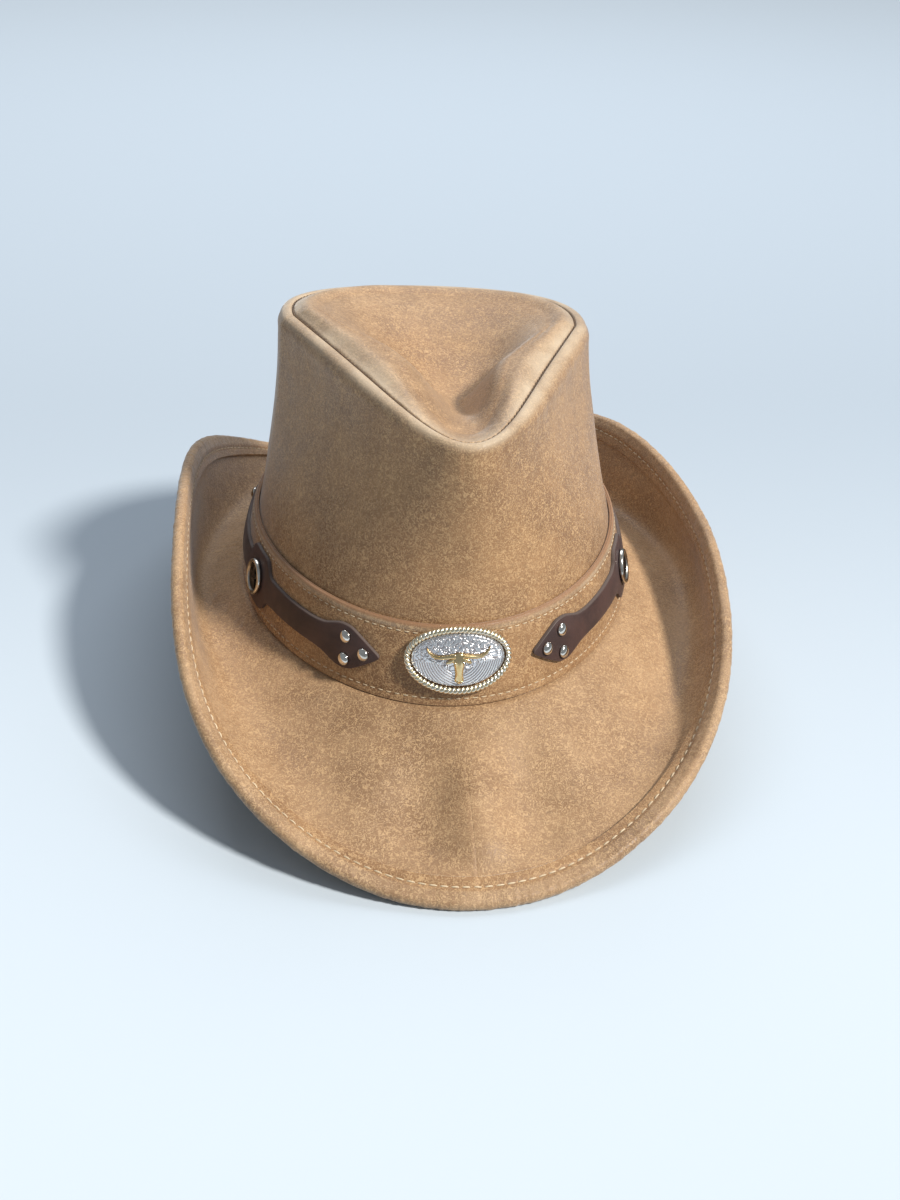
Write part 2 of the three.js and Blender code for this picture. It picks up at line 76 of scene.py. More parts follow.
SEAM_HALF_WIDTH = 62.2
SEAM_FRONT = 104.6
SEAM_REAR = 64.5
SEAM_SHIFT = 21.8
SEAM_PINCH = 0.72
SEAM_PINCH_SOFT = 0.3
SEAM_REAR_SWELL = 0.17
SEAM_LEAN = 2.8
SEAM_REAR_LEAN = 4.9
SEAM_TILT = -3.0
SEAM_TOP = 117.0
SEAM_FRONT_DROP = 7.9
SEAM_FRONT_POWER = 7.9
SEAM_REAR_DROP = 9.6
SHOULDER = 7.0
DENT = np.array([6.0, -10.0, 93.0])

BRIM_REACH = 183.5             # centre line of the brim's edge, front and rear
BRIM_LEFT = 126.7
BRIM_RIGHT = 115.0
BRIM_POWER = 1.98
FLARE_LEFT = (7.6, -4.0)       # swell of each side's edge past the oval: front, rear
FLARE_RIGHT = (14.9, 12.0)
EDGE_LOW = -34.0
EDGE_HIGH = (40.0, 22.0)       # the wearer's right, and left
EDGE_HUMP = (-6.5, 17.0)
FALL_FRONT = 1.67
FALL_REAR = 2.8
REST = 1.04
REST_SOFT = 0.05
LEAVE_SIDE = -22.0             # brim angles in degrees: leaving the crown, at the edge
LEAVE_ENDS = -26.0
CURL_SIDE = 84.0
CURL_ENDS = -23.0
LEAVE_PULL = 0.48
CURL_PULL = 0.4
LEAST_PULL = 76.0
SKIN_IN = 0.15
SKIN_OUT = 1.5
HEM_IN = 1.8
HEM_OUT = 2.7
HEM_WIDTH = 9.5
HEM_SHIFT = 0.4                # the fold's centre past the brim's edge

STRAP_AT = 117.0               # distance round the band from the front to each side concho
STRAP_MID = 17.0
STRAP_THICK = 1.8
# distance from the side concho, half width
STRAP_SHAPE = [
    (0, 11.6), (7.5, 11.4), (10.5, 9.4), (12.5, 6.9), (16, 5.6), (24, 5.4), (33, 5.3), (42, 5.3),
    (50, 5.4), (56, 6.1), (61, 7.8), (65, 8.9), (70, 8.6), (75, 6.2), (80, 3.2), (83.5, 0.9),
]
RIVETS = [(68, 4.7), (68, -4.7), (77, 0)]
RIVET_R = 2.5
SHANK_R = 1.0
ON_STRAP = 2 * GAP + STRAP_THICK

OVAL_W = 22.4                  # front concho, half width and half height over the rope
OVAL_H = 13.8
OVAL_MID = 20.3
ROPE_R = 1.35
ROPE_TURNS = 30
PLATE_Z = 2 * GAP

# ---- arrays ----


def vec(x, y, z):
    return np.stack(np.broadcast_arrays(x, y, z), -1).astype(float)


def unit(v):
    return v / np.maximum(np.linalg.norm(v, axis=-1, keepdims=True), 1e-9)


def flat_unit(v):
    return unit(v * (1, 1, 0))


def mix(a, b, t):
    return a + (b - a) * t


def smooth(x, lo, hi):
    t = np.clip((x - lo) / (hi - lo), 0, 1)
    return t * t * (3 - 2 * t)


def power(x, p):
    return np.sign(x) * np.abs(x) ** p


def around(count):
    return np.arange(count) * TAU / count


def turn_from_front(th):
    """The angle as a number from 0 at the front to pi at the rear, on either side."""
    return np.abs(np.arctan2(np.sin(th), np.cos(th)))


def bezier(a, b, c, d, t):
    return (1 - t) ** 3 * a + 3 * t * (1 - t) ** 2 * b + 3 * t * t * (1 - t) * c + t ** 3 * d


def eased(rows, per):
    """Rows with a smooth curve through them, per new rows for each old step."""
    rows = np.asarray(rows, float)
    padded = np.concatenate([rows[:1] * 2 - rows[1:2], rows, rows[-1:] * 2 - rows[-2:-1]])
    out = []
    for i in range(len(rows) - 1):
        p0, p1, p2, p3 = padded[i:i + 4]
        for t in np.arange(per) / per:
            out.append(0.5 * (2 * p1 + (p2 - p0) * t + (2 * p0 - 5 * p1 + 4 * p2 - p3) * t * t
                              + (3 * p1 - p0 - 3 * p2 + p3) * t ** 3))
    out.append(rows[-1])
    return np.array(out)


def normals(rows):
    """Normals of a sheet of closed rows: along the row, crossed with the step to the next row."""
    along = np.roll(rows, -1, 1) - np.roll(rows, 1, 1)
    across = np.empty_like(rows)
    across[1:-1] = rows[2:] - rows[:-2]
    across[0] = rows[1] - rows[0]
    across[-1] = rows[-1] - rows[-2]
    return unit(np.cross(along, across))


def noise(points, size, seed):
    """Smooth noise from -1 to 1 whose lumps are about size across; size may differ by axis."""
    q = points / size + seed * 7.31
    cell = np.floor(q).astype(np.int64)
    f = q - cell
    f = f * f * (3 - 2 * f)
    total = 0.0
    for corner in itertools.product((0, 1), repeat=3):
        c = cell + corner
        h = (c[..., 0] * 73856093) ^ (c[..., 1] * 19349663) ^ (c[..., 2] * 83492791)
        h = (h ^ (h >> 13)) * 1274126177
        value = ((h >> 8) & 0xFFFF) / 32767.5 - 1
        total = total + value * np.prod(np.where(corner, f, 1 - f), -1)
    return total


# ---- mesh building ----


def grid_faces(rows, columns, wrap_rows, wrap_columns=True):
    r = np.arange(rows if wrap_rows else rows - 1)[:, None]
    c = np.arange(columns if wrap_columns else columns - 1)[None, :]
    r2, c2 = (r + 1) % rows, (c + 1) % columns
    quads = np.stack([r * columns + c, r * columns + c2, r2 * columns + c2, r2 * columns + c], -1)
    return quads.reshape(-1, 4)


def fans(rows, columns):
    """Triangles from the first and the last row of a grid to the two poles listed after it."""
    i = np.arange(columns)
    j = (i + 1) % columns
    base, pole = (rows - 1) * columns, rows * columns
    return [np.stack([np.full(columns, pole), j, i], -1),
            np.stack([np.full(columns, pole + 1), base + i, base + j], -1)]


def signed_volume(points, faces):
    total = 0.0
    for face in faces:
        face = np.atleast_2d(face)
        for k in range(1, face.shape[1] - 1):
            a, b, c = points[face[:, 0]], points[face[:, k]], points[face[:, k + 1]]
            total += np.einsum("ij,ij->i", a, np.cross(b, c)).sum()
    return total


def make(name, points, faces, material, sharp=38, **attributes):
    """A mesh object from points in mm. faces is a list of index arrays, each of equal-sided faces."""
    points = np.asarray(points, float)
    if signed_volume(points, faces) < 0:
        faces = [f[:, ::-1] for f in faces]
    mesh = bpy.data.meshes.new(name)
    mesh.from_pydata((points * MM + BAND_CENTRE).tolist(), [], [q for f in faces for q in f.tolist()])
    mesh.polygons.foreach_set("use_smooth", np.ones(len(mesh.polygons), bool))
    mesh.set_sharp_from_angle(angle=math.radians(sharp))
    for key, values in attributes.items():
        layer = mesh.attributes.new(key, "FLOAT", "POINT")
        layer.data.foreach_set("value", np.clip(values, 0, 1).astype(np.float32).ravel())
    mesh.materials.append(material)
    mesh.update()
    piece = bpy.data.objects.new(name, mesh)
    bpy.context.collection.objects.link(piece)
    return piece


def ringed(name, rows, material, poles=None, sharp=38, **attributes):
    """A closed body of rows round a loop: the list of rows closes on itself or ends in two poles."""
    rows = np.asarray(rows, float)
    count, columns = rows.shape[:2]
    points = rows.reshape(-1, 3)
    faces = [grid_faces(count, columns, poles is None)]
    if poles is not None:
        points = np.concatenate([points, np.asarray(poles, float)])
        faces += fans(count, columns)
        attributes = {k: np.append(np.ravel(v), (np.ravel(v)[0], np.ravel(v)[-1]))
                      for k, v in attributes.items()}
    return make(name, points, faces, material, sharp, **attributes)


def merged(parts):
    """Several (points, face list) bodies as one."""
    points, faces, start = [], [], 0
    for part_points, part_faces in parts:
        points.append(part_points)
        faces += [f + start for f in part_faces]
        start += len(part_points)
    return np.concatenate(points), faces


def tube(path, radius, sides, closed=False, tips=0.0):
    """Points and faces of a tube. Open tubes end in poles, tips past the last ring."""
    path = np.asarray(path, float)
    if closed:
        ahead = unit(np.roll(path, -1, 0) - np.roll(path, 1, 0))
    else:
        ahead = unit(np.gradient(path, axis=0))
    up = unit(np.cross(ahead, np.roll(ahead, 1, -1) + (0.3, 0.1, 0.2)))
    for i in range(1, len(path)):
        up[i] = up[i - 1] - ahead[i] * up[i - 1].dot(ahead[i])
        up[i] /= np.linalg.norm(up[i])
    side = np.cross(ahead, up)
    a = around(sides)[None, :, None]
    radius = np.broadcast_to(np.asarray(radius, float), (len(path),))[:, None, None]
    rings = path[:, None] + radius * (np.cos(a) * up[:, None] + np.sin(a) * side[:, None])
    points = rings.reshape(-1, 3)
    faces = [grid_faces(len(path), sides, closed)]
    if not closed:
        ends = [path[0] - ahead[0] * tips, path[-1] + ahead[-1] * tips]
        points = np.concatenate([points, ends])
        faces += fans(len(path), sides)
    return points, faces


def lathe(profile, segments):
    """A turned body about the z axis, from (radius, height) points that start and end on it."""
    inner = profile[1:-1]
    a = around(segments)
    rows = np.array([vec(r * np.cos(a), r * np.sin(a), z) for r, z in inner])
    points = np.concatenate([rows.reshape(-1, 3), [(0, 0, profile[0][1]), (0, 0, profile[-1][1])]])
    return points, [grid_faces(len(inner), segments, False), *fans(len(inner), segments)]


# ---- the hat's surfaces ----


def oval(th, w, off):
    k = w / BAND_HEIGHT
    a = BAND_A - BAND_TAPER * k + off
    b = BAND_B - BAND_TAPER * k + off
    x = b * np.sin(th) * (1 - BAND_EGG * np.cos(th))
    return vec(x, BAND_SHIFT * k - a * np.cos(th), w)


ARC_ANGLES = np.linspace(-math.pi, math.pi, 2881)
arc_points = oval(ARC_ANGLES, STRAP_MID, 0)
arc_steps = np.linalg.norm(np.diff(arc_points, axis=0), axis=1)
ARC = np.concatenate([[0], np.cumsum(arc_steps)])
ARC -= ARC[-1] / 2


def on_band(s, w, off):
    """A point at a distance s round the band from the front, at height w, off its outer face."""
    return oval(np.interp(s, ARC, ARC_ANGLES), w, off)


def wrapped(body, s0, w0):
    """A body drawn flat (x along the band, y up it, z out of it), laid on the band."""
    points, faces = body
    return on_band(s0 + points[:, 0], w0 + points[:, 1], points[:, 2]), faces


def seam(th):
    c, s = np.cos(th), np.sin(th)
    front, rear = np.maximum(c, 0), np.maximum(-c, 0)
    swell = np.where(c > 0, SEAM_PINCH_SOFT * c * c - SEAM_PINCH * c, -SEAM_REAR_SWELL * c)
    x = SEAM_HALF_WIDTH * s * (1 + swell) + SEAM_LEAN * front ** 3 + SEAM_REAR_LEAN * rear ** 2
    y = SEAM_SHIFT - np.where(c > 0, SEAM_FRONT, SEAM_REAR) * c
    drop = SEAM_FRONT_DROP * ((1 + c) / 2) ** SEAM_FRONT_POWER + SEAM_REAR_DROP * rear ** 1.5
    return vec(x, y, SEAM_TOP + SEAM_TILT * s - drop)


def seam_outward(row):
    along = np.roll(row, -1, 0) - np.roll(row, 1, 0)
    return flat_unit(np.cross(along, (0, 0, 1)))


def fullness(th):
    return smooth(turn_from_front(th), 0.15, 0.95)


def brim_edge(th):
    c, s = np.cos(th), np.sin(th)
    left = 1 - REST * np.abs(c) ** np.where(c > 0, FALL_FRONT, FALL_REAR)
    end = 1 - (left + np.hypot(left, REST_SOFT)) / 2
    corner = np.sin(2 * th) ** 2
    flare = np.where(s > 0, np.where(c > 0, *FLARE_LEFT), np.where(c > 0, *FLARE_RIGHT))
    half = np.where(s > 0, BRIM_LEFT, BRIM_RIGHT) * power(s, 2 / BRIM_POWER)
    x = half + np.sign(s) * flare * corner
    y = -BRIM_REACH * power(c, 2 / BRIM_POWER)
    high, hump = (np.where(s > 0, left_side, right_side) for right_side, left_side in (EDGE_HIGH, EDGE_HUMP))
    return vec(x, y, mix(high, EDGE_LOW, end) + np.where(c > 0, 0, hump * corner))


def brim_paths(th, samples=160):
    """The brim's middle surface as one curve per station, with the length along each."""
    base = oval(th, 0, 1.0)
    base[:, 2] = -SKIN_OUT
    edge = brim_edge(th)
    reach = edge - base
    flat = flat_unit(reach)
    side = (np.sin(th) ** 2)[:, None]
    leave = np.radians(mix(LEAVE_ENDS, LEAVE_SIDE, side))
    curl = np.radians(mix(CURL_ENDS, CURL_SIDE, side))
    pull = np.maximum(np.linalg.norm(reach, axis=1, keepdims=True), LEAST_PULL)
    up = np.array([0, 0, 1.0])
    b = base + (flat * np.cos(leave) + up * np.sin(leave)) * pull * LEAVE_PULL
    c = edge - (flat * np.cos(curl) + up * np.sin(curl)) * pull * CURL_PULL
    t = np.linspace(0, 1, samples)[:, None, None]
    paths = bezier(base, b, c, edge, t)
    steps = np.linalg.norm(np.diff(paths, axis=0), axis=2)
    lengths = np.concatenate([np.zeros((1, len(th))), np.cumsum(steps, 0)])
    return paths, lengths


def brim_rows(th, stops, from_edge):
    """Rows at stops (0 at the crown, 1 at the edge) and then at distances from the edge."""
    paths, lengths = brim_paths(th)
    rows = np.empty((len(stops) + len(from_edge), len(th), 3))
    for i in range(len(th)):
        whole = lengths[-1, i]
        inside = np.array(stops) * (whole - HEM_WIDTH)
        at = np.concatenate([inside, whole - np.array(from_edge)])
        for k in range(3):
            rows[:, i, k] = np.interp(at, lengths[:, i], paths[:, i, k])
    return rows


# ---- materials ----


def srgb(*rgb):
    """A colour given as 0 to 255 screen values, in linear light."""
    c = np.array(rgb) / 255
    linear = np.where(c <= 0.04045, c / 12.92, ((c + 0.055) / 1.055) ** 2.4)
    return (*linear.tolist(), 1.0)


class Surface:
    """A Principled material with small helpers for its node tree."""

    def __init__(self, name, **sockets):
        self.material = bpy.data.materials.new(name)
        self.material.use_nodes = True
        self.tree = self.material.node_tree
        self.shader = self.tree.nodes["Principled BSDF"]
        for key, value in sockets.items():
            self.shader.inputs[key.replace("_", " ")].default_value = value
        self.place = self.new("ShaderNodeTexCoord").outputs["Object"]

    def new(self, kind, links=(), **settings):
        node = self.tree.nodes.new(kind)
        for key, value in settings.items():
            if key in node.inputs:
                node.inputs[key].default_value = value
            else:
                setattr(node, key, value)
        for key, source in dict(links).items():
            self.tree.links.new(source, node.inputs[key])
        return node

    def noise(self, scale, detail=3.0, roughness=0.55, distortion=0.0, place=None):
        links = {"Vector": place or self.place}
        return self.new("ShaderNodeTexNoise", links, Scale=scale, Detail=detail, Roughness=roughness,
                        Distortion=distortion).outputs["Fac"]

    def stretched(self, scales, turn=(0, 0, 0)):
        return self.new("ShaderNodeMapping", {"Vector": self.place}, Scale=scales,
                        Rotation=turn).outputs["Vector"]

    def ramp(self, value, low, high, low_to=0.0, high_to=1.0):
        node = self.new("ShaderNodeMapRange", {"Value": value}, interpolation_type="SMOOTHSTEP")
        for key, number in (("From Min", low), ("From Max", high), ("To Min", low_to), ("To Max", high_to)):
            node.inputs[key].default_value = number
        return node.outputs["Result"]

    def math(self, operation, a, b=None):
        node = self.new("ShaderNodeMath", operation=operation)
        for index, value in enumerate((a, b)):
            if isinstance(value, (int, float)):
                node.inputs[index].default_value = value
            elif value is not None:
                self.tree.links.new(value, node.inputs[index])
        return node.outputs["Value"]

    def blend(self, amount, a, b):
        """Colour a where amount is 0 and b where it is 1."""
        node = self.new("ShaderNodeMix", data_type="RGBA")
        for index, value in ((0, amount), (6, a), (7, b)):
            if isinstance(value, (tuple, float)):
                node.inputs[index].default_value = value
            else:
                self.tree.links.new(value, node.inputs[index])
        return node.outputs[2]

    def attribute(self, name):
        return self.new("ShaderNodeAttribute", attribute_name=name).outputs["Fac"]

    def bump(self, height, distance, strength=1.0, under=None):
        links = {"Height": height}
        if under is not None:
            links["Normal"] = under
        return self.new("ShaderNodeBump", links, Strength=strength, Distance=distance).outputs["Normal"]

    def finish(self, **sources):
        for key, source in sources.items():
            self.tree.links.new(source, self.shader.inputs[key.replace("_", " ")])
        return self.material


def ridged(surface, value, width):
    """1 on the thin winding lines where a noise crosses its middle, falling to 0 at width."""
    away = surface.math("ABSOLUTE", surface.math("SUBTRACT", value, 0.5))
    return surface.ramp(away, 0.0, width, 1.0, 0.0)


def distressed_leather(name, tan, brown, pale, grain=1.0, rough=0.5):
    """Waxed, pulled-up leather: cloudy tan and brown, with pale lines where the grain is rubbed."""
    s = Surface(name, Specular_IOR_Level=0.42, Sheen_Weight=0.4, Sheen_Roughness=0.34,
                Sheen_Tint=srgb(228, 234, 240))
    cloud = s.noise(17, 3, 0.55, 0.6)
    patch = s.noise(62, 2, 0.5, 0.4)
    tone = s.math("ADD", s.math("MULTIPLY", cloud, 0.62), s.math("MULTIPLY", patch, 0.38))
    colour = s.blend(s.ramp(tone, 0.32, 0.7), brown, tan)
    crinkle = s.noise(620, 1.4, 0.5, 1.1)
    lines = ridged(s, crinkle, 0.08)
    fine = s.noise(1500, 2, 0.5, 0.4)
    rubbed = s.math("MULTIPLY", lines, s.ramp(s.noise(110, 3), 0.34, 0.62, 0.55, 0.8))
    colour = s.blend(rubbed, colour, pale)
    dark = s.ramp(s.noise(950, 2, 0.5, 0.8), 0.44, 0.3, 0.0, 0.35)
    colour = s.blend(dark, colour, tuple(0.5 * c for c in brown[:3]) + (1.0,))
    streak = s.noise(1.0, 2, 0.5, 0.6, s.stretched((55, 420, 420), (0.4, 0.5, 0.7)))
    scuffs = s.math("MULTIPLY", ridged(s, streak, 0.018), s.ramp(s.noise(24, 2), 0.52, 0.66, 0.0, 0.5))
    colour = s.blend(scuffs, colour, pale)
    # A pale grey is painted where this attribute is high: partly rubbed wear, partly a painted sheen on
    # crests and the crown's tip.
    colour = s.blend(s.math("MULTIPLY", s.attribute("wear"), s.ramp(patch, 0.3, 0.7, 0.45, 0.8)),
                     colour, srgb(205, 191, 168))
    height = s.math("ADD", s.math("MULTIPLY", crinkle, 0.7), s.math("MULTIPLY", lines, 0.4))
    height = s.math("ADD", height, s.math("MULTIPLY", fine, 0.2))
    normal = s.bump(s.noise(130, 4, 0.6), 0.0004, 0.35)
    normal = s.bump(height, 0.00028 * grain, 0.55, normal)
    shine = s.ramp(s.math("ADD", tone, s.math("MULTIPLY", lines, 0.15)), 0.3, 0.8, rough - 0.07, rough + 0.1)
    return s.finish(Base_Color=colour, Roughness=shine, Normal=normal)


def smooth_leather(name, colour, deep, edge, rough=0.46):
    """Smooth finished leather with fine pores. The attribute edge marks its cut edges."""
    s = Surface(name, Specular_IOR_Level=0.4, Sheen_Weight=0.12, Sheen_Roughness=0.5,
                Sheen_Tint=srgb(196, 206, 220))
    tone = s.blend(s.ramp(s.noise(48, 4, 0.6, 0.3), 0.35, 0.68), deep, colour)
    fibre = s.blend(s.noise(1600, 3), edge, tuple(0.62 * c for c in edge[:3]) + (1.0,))
    tone = s.blend(s.attribute("edge"), tone, fibre)
    pores = s.new("ShaderNodeTexVoronoi", {"Vector": s.place}, Scale=1500.0).outputs["Distance"]
    height = s.math("ADD", s.math("MULTIPLY", s.ramp(pores, 0.0, 0.35), 0.5),
                    s.math("MULTIPLY", s.noise(420, 3, 0.6, 0.5), 0.6))
    shine = s.ramp(s.noise(90, 3), 0.3, 0.7, rough - 0.06, rough + 0.08)
    shine = s.math("ADD", shine, s.math("MULTIPLY", s.attribute("edge"), 0.2))
    return s.finish(Base_Color=tone, Roughness=shine, Normal=s.bump(height, 0.00012, 0.4))


def woven_cloth(name, thread, shade):
    """Twill lining: fine diagonal ribs with a soft satin sheen."""
    s = Surface(name, Roughness=0.62, Specular_IOR_Level=0.35, Sheen_Weight=0.35, Sheen_Roughness=0.35)
    ribs = s.new("ShaderNodeTexWave", {"Vector": s.stretched((1, 1, 1.2), (0.0, 0.6, 0.3))},
                 wave_type="BANDS", bands_direction="DIAGONAL", Scale=260.0, Distortion=0.6,
                 Detail=1.0).outputs["Fac"]
    threads = s.math("MULTIPLY", ribs, s.ramp(s.noise(900, 2), 0.3, 0.7, 0.7, 1.0))
    colour = s.blend(threads, shade, thread)
    return s.finish(Base_Color=colour, Normal=s.bump(threads, 0.00015, 0.5))


def thread_material(name, light, dark):
    """Waxed sewing thread, with its twist as fine slanted lines."""
    s = Surface(name, Roughness=0.6, Specular_IOR_Level=0.4, Sheen_Weight=0.2)
    twist = s.noise(1.0, 1, 0.5, 0.0, s.stretched((2600, 2600, 900), (0.5, 0.4, 0.2)))
    soil = s.ramp(s.noise(70, 3), 0.35, 0.7)
    colour = s.blend(s.math("MULTIPLY", soil, 0.55), light, dark)
    return s.finish(Base_Color=colour, Normal=s.bump(twist, 0.0001, 0.5))


def metal(name, bright, dull, rough, marks=0.06, deep=None):
    """Plated metal with faint scratches. The attribute deep marks recesses that hold tarnish."""
    s = Surface(name, Metallic=1.0)
    haze = s.noise(240, 4, 0.6, 0.4)
    scratch = s.noise(1.0, 2, 0.5, 0.0, s.stretched((2400, 160, 900), (0.3, 0.8, 0.5)))
    colour = s.blend(s.ramp(haze, 0.35, 0.7), bright, dull)
    shine = s.ramp(s.math("ADD", s.math("MULTIPLY", haze, 0.6), s.math("MULTIPLY", scratch, 0.4)),
                   0.3, 0.75, rough, rough + marks)
    if deep is not None:
        colour = s.blend(s.attribute("deep"), colour, deep)
        shine = s.math("ADD", shine, s.math("MULTIPLY", s.attribute("deep"), 0.25))
    return s.finish(Base_Color=colour, Roughness=shine, Normal=s.bump(scratch, 0.00002, 0.25))


TAN, BROWN, PALE = srgb(163, 126, 88), srgb(132, 99, 68), srgb(204, 168, 124)
HAT = distressed_leather("hat_leather_surface", TAN, BROWN, PALE)
HEM = distressed_leather("hem_leather_surface", TAN, BROWN, PALE, 1.35)
UNDER = distressed_leather("under_leather_surface", srgb(152, 116, 81), srgb(122, 91, 63), PALE, 1.1)
BAND = distressed_leather("band_leather_surface", srgb(158, 121, 84), srgb(128, 95, 65), PALE)
SWEAT = smooth_leather("sweat_leather_surface", srgb(128, 90, 62), srgb(96, 66, 45), srgb(150, 112, 80), 0.5)
# The strap's cut edges are painted a lighter grey than the strap: partly their own colour, partly a painted
# reflection of the sky.
STRAP = smooth_leather("strap_leather_surface", srgb(76, 54, 49), srgb(56, 40, 37), srgb(98, 84, 78))
LINER = woven_cloth("lining_cloth_surface", srgb(112, 82, 60), srgb(74, 53, 39))
THREAD = thread_material("light_thread_surface", srgb(212, 194, 164), srgb(172, 150, 120))
DARK_THREAD = thread_material("dark_thread_surface", srgb(104, 82, 62), srgb(78, 60, 46))
NICKEL = metal("rivet_nickel_surface", srgb(232, 229, 222), srgb(205, 200, 190), 0.12)
SILVER = metal("concho_silver_surface", srgb(226, 223, 216), srgb(190, 186, 178), 0.16, deep=srgb(70, 66, 64))
DARK = metal("star_dark_surface", srgb(96, 94, 94), srgb(58, 56, 57), 0.3)
STEEL = metal("post_steel_surface", srgb(206, 203, 198), srgb(168, 164, 158), 0.3)
WIRE = metal("wire_steel_surface", srgb(190, 191, 194), srgb(150, 150, 152), 0.32)
PLATE = metal("plate_silver_surface", srgb(250, 250, 250), srgb(236, 236, 240), 0.24,
              deep=srgb(168, 166, 170))
ROPE = metal("rope_silver_surface", srgb(252, 246, 228), srgb(246, 236, 206), 0.2, deep=srgb(120, 102, 76))
GOLD = metal("emblem_brass_surface", srgb(242, 220, 172), srgb(222, 190, 132), 0.16, deep=srgb(142, 106, 62))


# ---- pieces: shared ----


def place(piece, body, slot, *nodes):
    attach(piece, body)
    if nodes:
        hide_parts(*nodes)
    return piece


# pitch, length and radius of each kind of stitch
SWEAT_STITCH = (3.4, 2.2, 0.32)
SEAM_STITCH = (2.9, 1.9, 0.3)
HEM_STITCH = (4.3, 3.5, 0.34)
BAND_STITCH = (3.6, 2.5, 0.24)
SEAM_STITCH_SUNK = 0.55


def stitch_row(name, path, up, pitch, length, radius, material, body, slot, start=0.0):
    """A closed row of thread stitches: each lies on the surface and dives into it at both ends."""
    steps = np.linalg.norm(np.roll(path, -1, 0) - path, axis=1)
    at = np.concatenate([[0], np.cumsum(steps)])
    ring = np.concatenate([path, path[:1]])
    lift = np.concatenate([up, up[:1]])
    count = int(round(at[-1] / pitch))
    pitch = at[-1] / count
    rise = np.array([-1.2, 0.1, 0.5, 0.6, 0.5, 0.1, -1.2]) * radius
    girth = np.array([0.5, 0.85, 1.0, 1.0, 1.0, 0.85, 0.5]) * radius
    parts = []
    for i in range(count):
        wander = math.sin(i * 12.9898) * 0.5
        s = (start + i * pitch + wander * 0.12 * pitch
             + np.linspace(-0.5, 0.5, len(rise)) * length * (1 + 0.1 * wander)) % at[-1]
        spine = np.stack([np.interp(s, at, ring[:, k]) for k in range(3)], 1)
        away = unit(np.stack([np.interp(s, at, lift[:, k]) for k in range(3)], 1))
        parts.append(tube(spine + away * rise[:, None], girth, 6, tips=0.1))
    points, faces = merged(parts)
    return place(make(name, points, faces, material, 60), body, slot)


# ---- crown ----
CROWN_STATIONS = 720
crown_th = around(CROWN_STATIONS)
seam_row = seam(crown_th)
out_dir = seam_outward(seam_row)
crown_full = fullness(crown_th)
crown_size = mix(0.5, 1.0, crown_full)[:, None]
UP = np.array([0, 0, 1.0])
WALL_OFF = -BAND_THICK - GAP
REAR = CROWN_STATIONS // 2

# out from the seam in shoulder widths, height over it: over the shoulder and into the seam
SHOULDER_SHAPE = [(1, -8.5), (0.97, -4.8), (0.74, -1.4), (0.38, 0.0), (0.1, -0.25), (0.02, -1.9)]
SHOULDER_UNDER = [(-1, -0.1), (-0.95, -0.35), (-0.7, -0.9), (-0.15, -1.15), (0.2, -1.15), (0.1, -0.8)]
# in from the seam, and height over it with and without the rounded ridge of the tip
RIDGE = [(0.15, -1.9, -1.9), (0.6, -0.35, -0.4), (2.4, 0.9, -0.8), (8, 3.5, -2.4), (15, 2.0, -4.6)]


def on_ring(values_size, v):
    """Points on a cylinder as round as the seam, for noise that joins up round the crown."""
    radius = 75.0 / values_size
    return vec(radius * np.cos(crown_th), radius * np.sin(crown_th), v)


def wall_rows(rise_steps, shoulder_steps):
    foot = [oval(crown_th, w, WALL_OFF) for w in (GAP, BAND_HEIGHT)]
    shoulder = [seam_row + out_dir * np.maximum(out * SHOULDER * crown_size, 0.12) + UP * z * crown_size
                for out, z in SHOULDER_SHAPE]
    slope = unit(foot[1] - foot[0])
    b = foot[1] + slope * 26
    c = shoulder[0] - UP * 26 + out_dir * 1.5
    t = np.linspace(0, 1, rise_steps, endpoint=False)
    rise = [bezier(foot[1], b, c, shoulder[0], x) for x in t]
    return np.array([foot[0], *rise, *eased(shoulder, shoulder_steps)])


def crown_wall():
    rows = wall_rows(40, 4)
    outer = rows.copy()
    away = normals(rows)
    under_seam = seam_row[:, 2] - rows[..., 2]
    free = smooth(rows[..., 2], BAND_HEIGHT + 2, BAND_HEIGHT + 16)
    soft = 0.75 * noise(rows, 44, 3) + 0.3 * noise(rows, 17, 5)
    pucker = 0.16 * noise(np.array([on_ring(3.1, v / 15) for v in under_seam]), 1.0, 9)
    near_seam = smooth(under_seam, 1.2, 3.5) * smooth(under_seam, 22, 5)
    rear_seam = np.exp(-((np.arange(CROWN_STATIONS) - REAR) / 1.1) ** 2) * 0.55
    relief = free * (soft + near_seam * pucker) * smooth(under_seam, 0.2, 2.5)
    outer += away * (relief - rear_seam * smooth(under_seam, 0.5, 2))[..., None]
    inner = rows[:-len(SHOULDER_UNDER) * 4 + 4] - away[:-len(SHOULDER_UNDER) * 4 + 4] * LEATHER
    corner = [seam_row + out_dir * np.maximum(a * SHOULDER * crown_size, 0.45) + UP * z * crown_size
              + out_dir * u * LEATHER + UP * v * LEATHER
              for (a, z), (u, v) in list(zip(SHOULDER_SHAPE, SHOULDER_UNDER))[1:]]
    inner[0, :, 2] = GAP
    # A pale grey along the shoulder's crest by the seam: rubbed wear and painted sheen.
    crest = np.exp(-(under_seam / 2.2) ** 2)
    wear = np.zeros((len(outer) + len(inner) + len(corner), CROWN_STATIONS))
    wear[:len(outer)] = crest * 0.75
    rows = np.concatenate([outer, np.array([*inner, *corner])[::-1]])
    return place(ringed("crown_side_leather", rows, HAT, wear=wear), "hat", "hat_leather", "crown_wall")


def tip_rows(ridge_steps, bowl_steps):
    inward = flat_unit(DENT - seam_row)
    ridge = [seam_row + inward * d + UP * mix(plain, full, crown_full)[:, None] for d, full, plain in RIDGE]
    ridge = eased(ridge, ridge_steps)
    rim = ridge[-1]
    bowl = []
    for t in np.linspace(1, 0, bowl_steps + 2)[1:-1]:
        row = mix(DENT, rim, t)
        row[:, 2] = mix(DENT[2], rim[:, 2], t * t * (3 - 2 * t))
        bowl.append(row)
    return np.array([*ridge, *bowl])


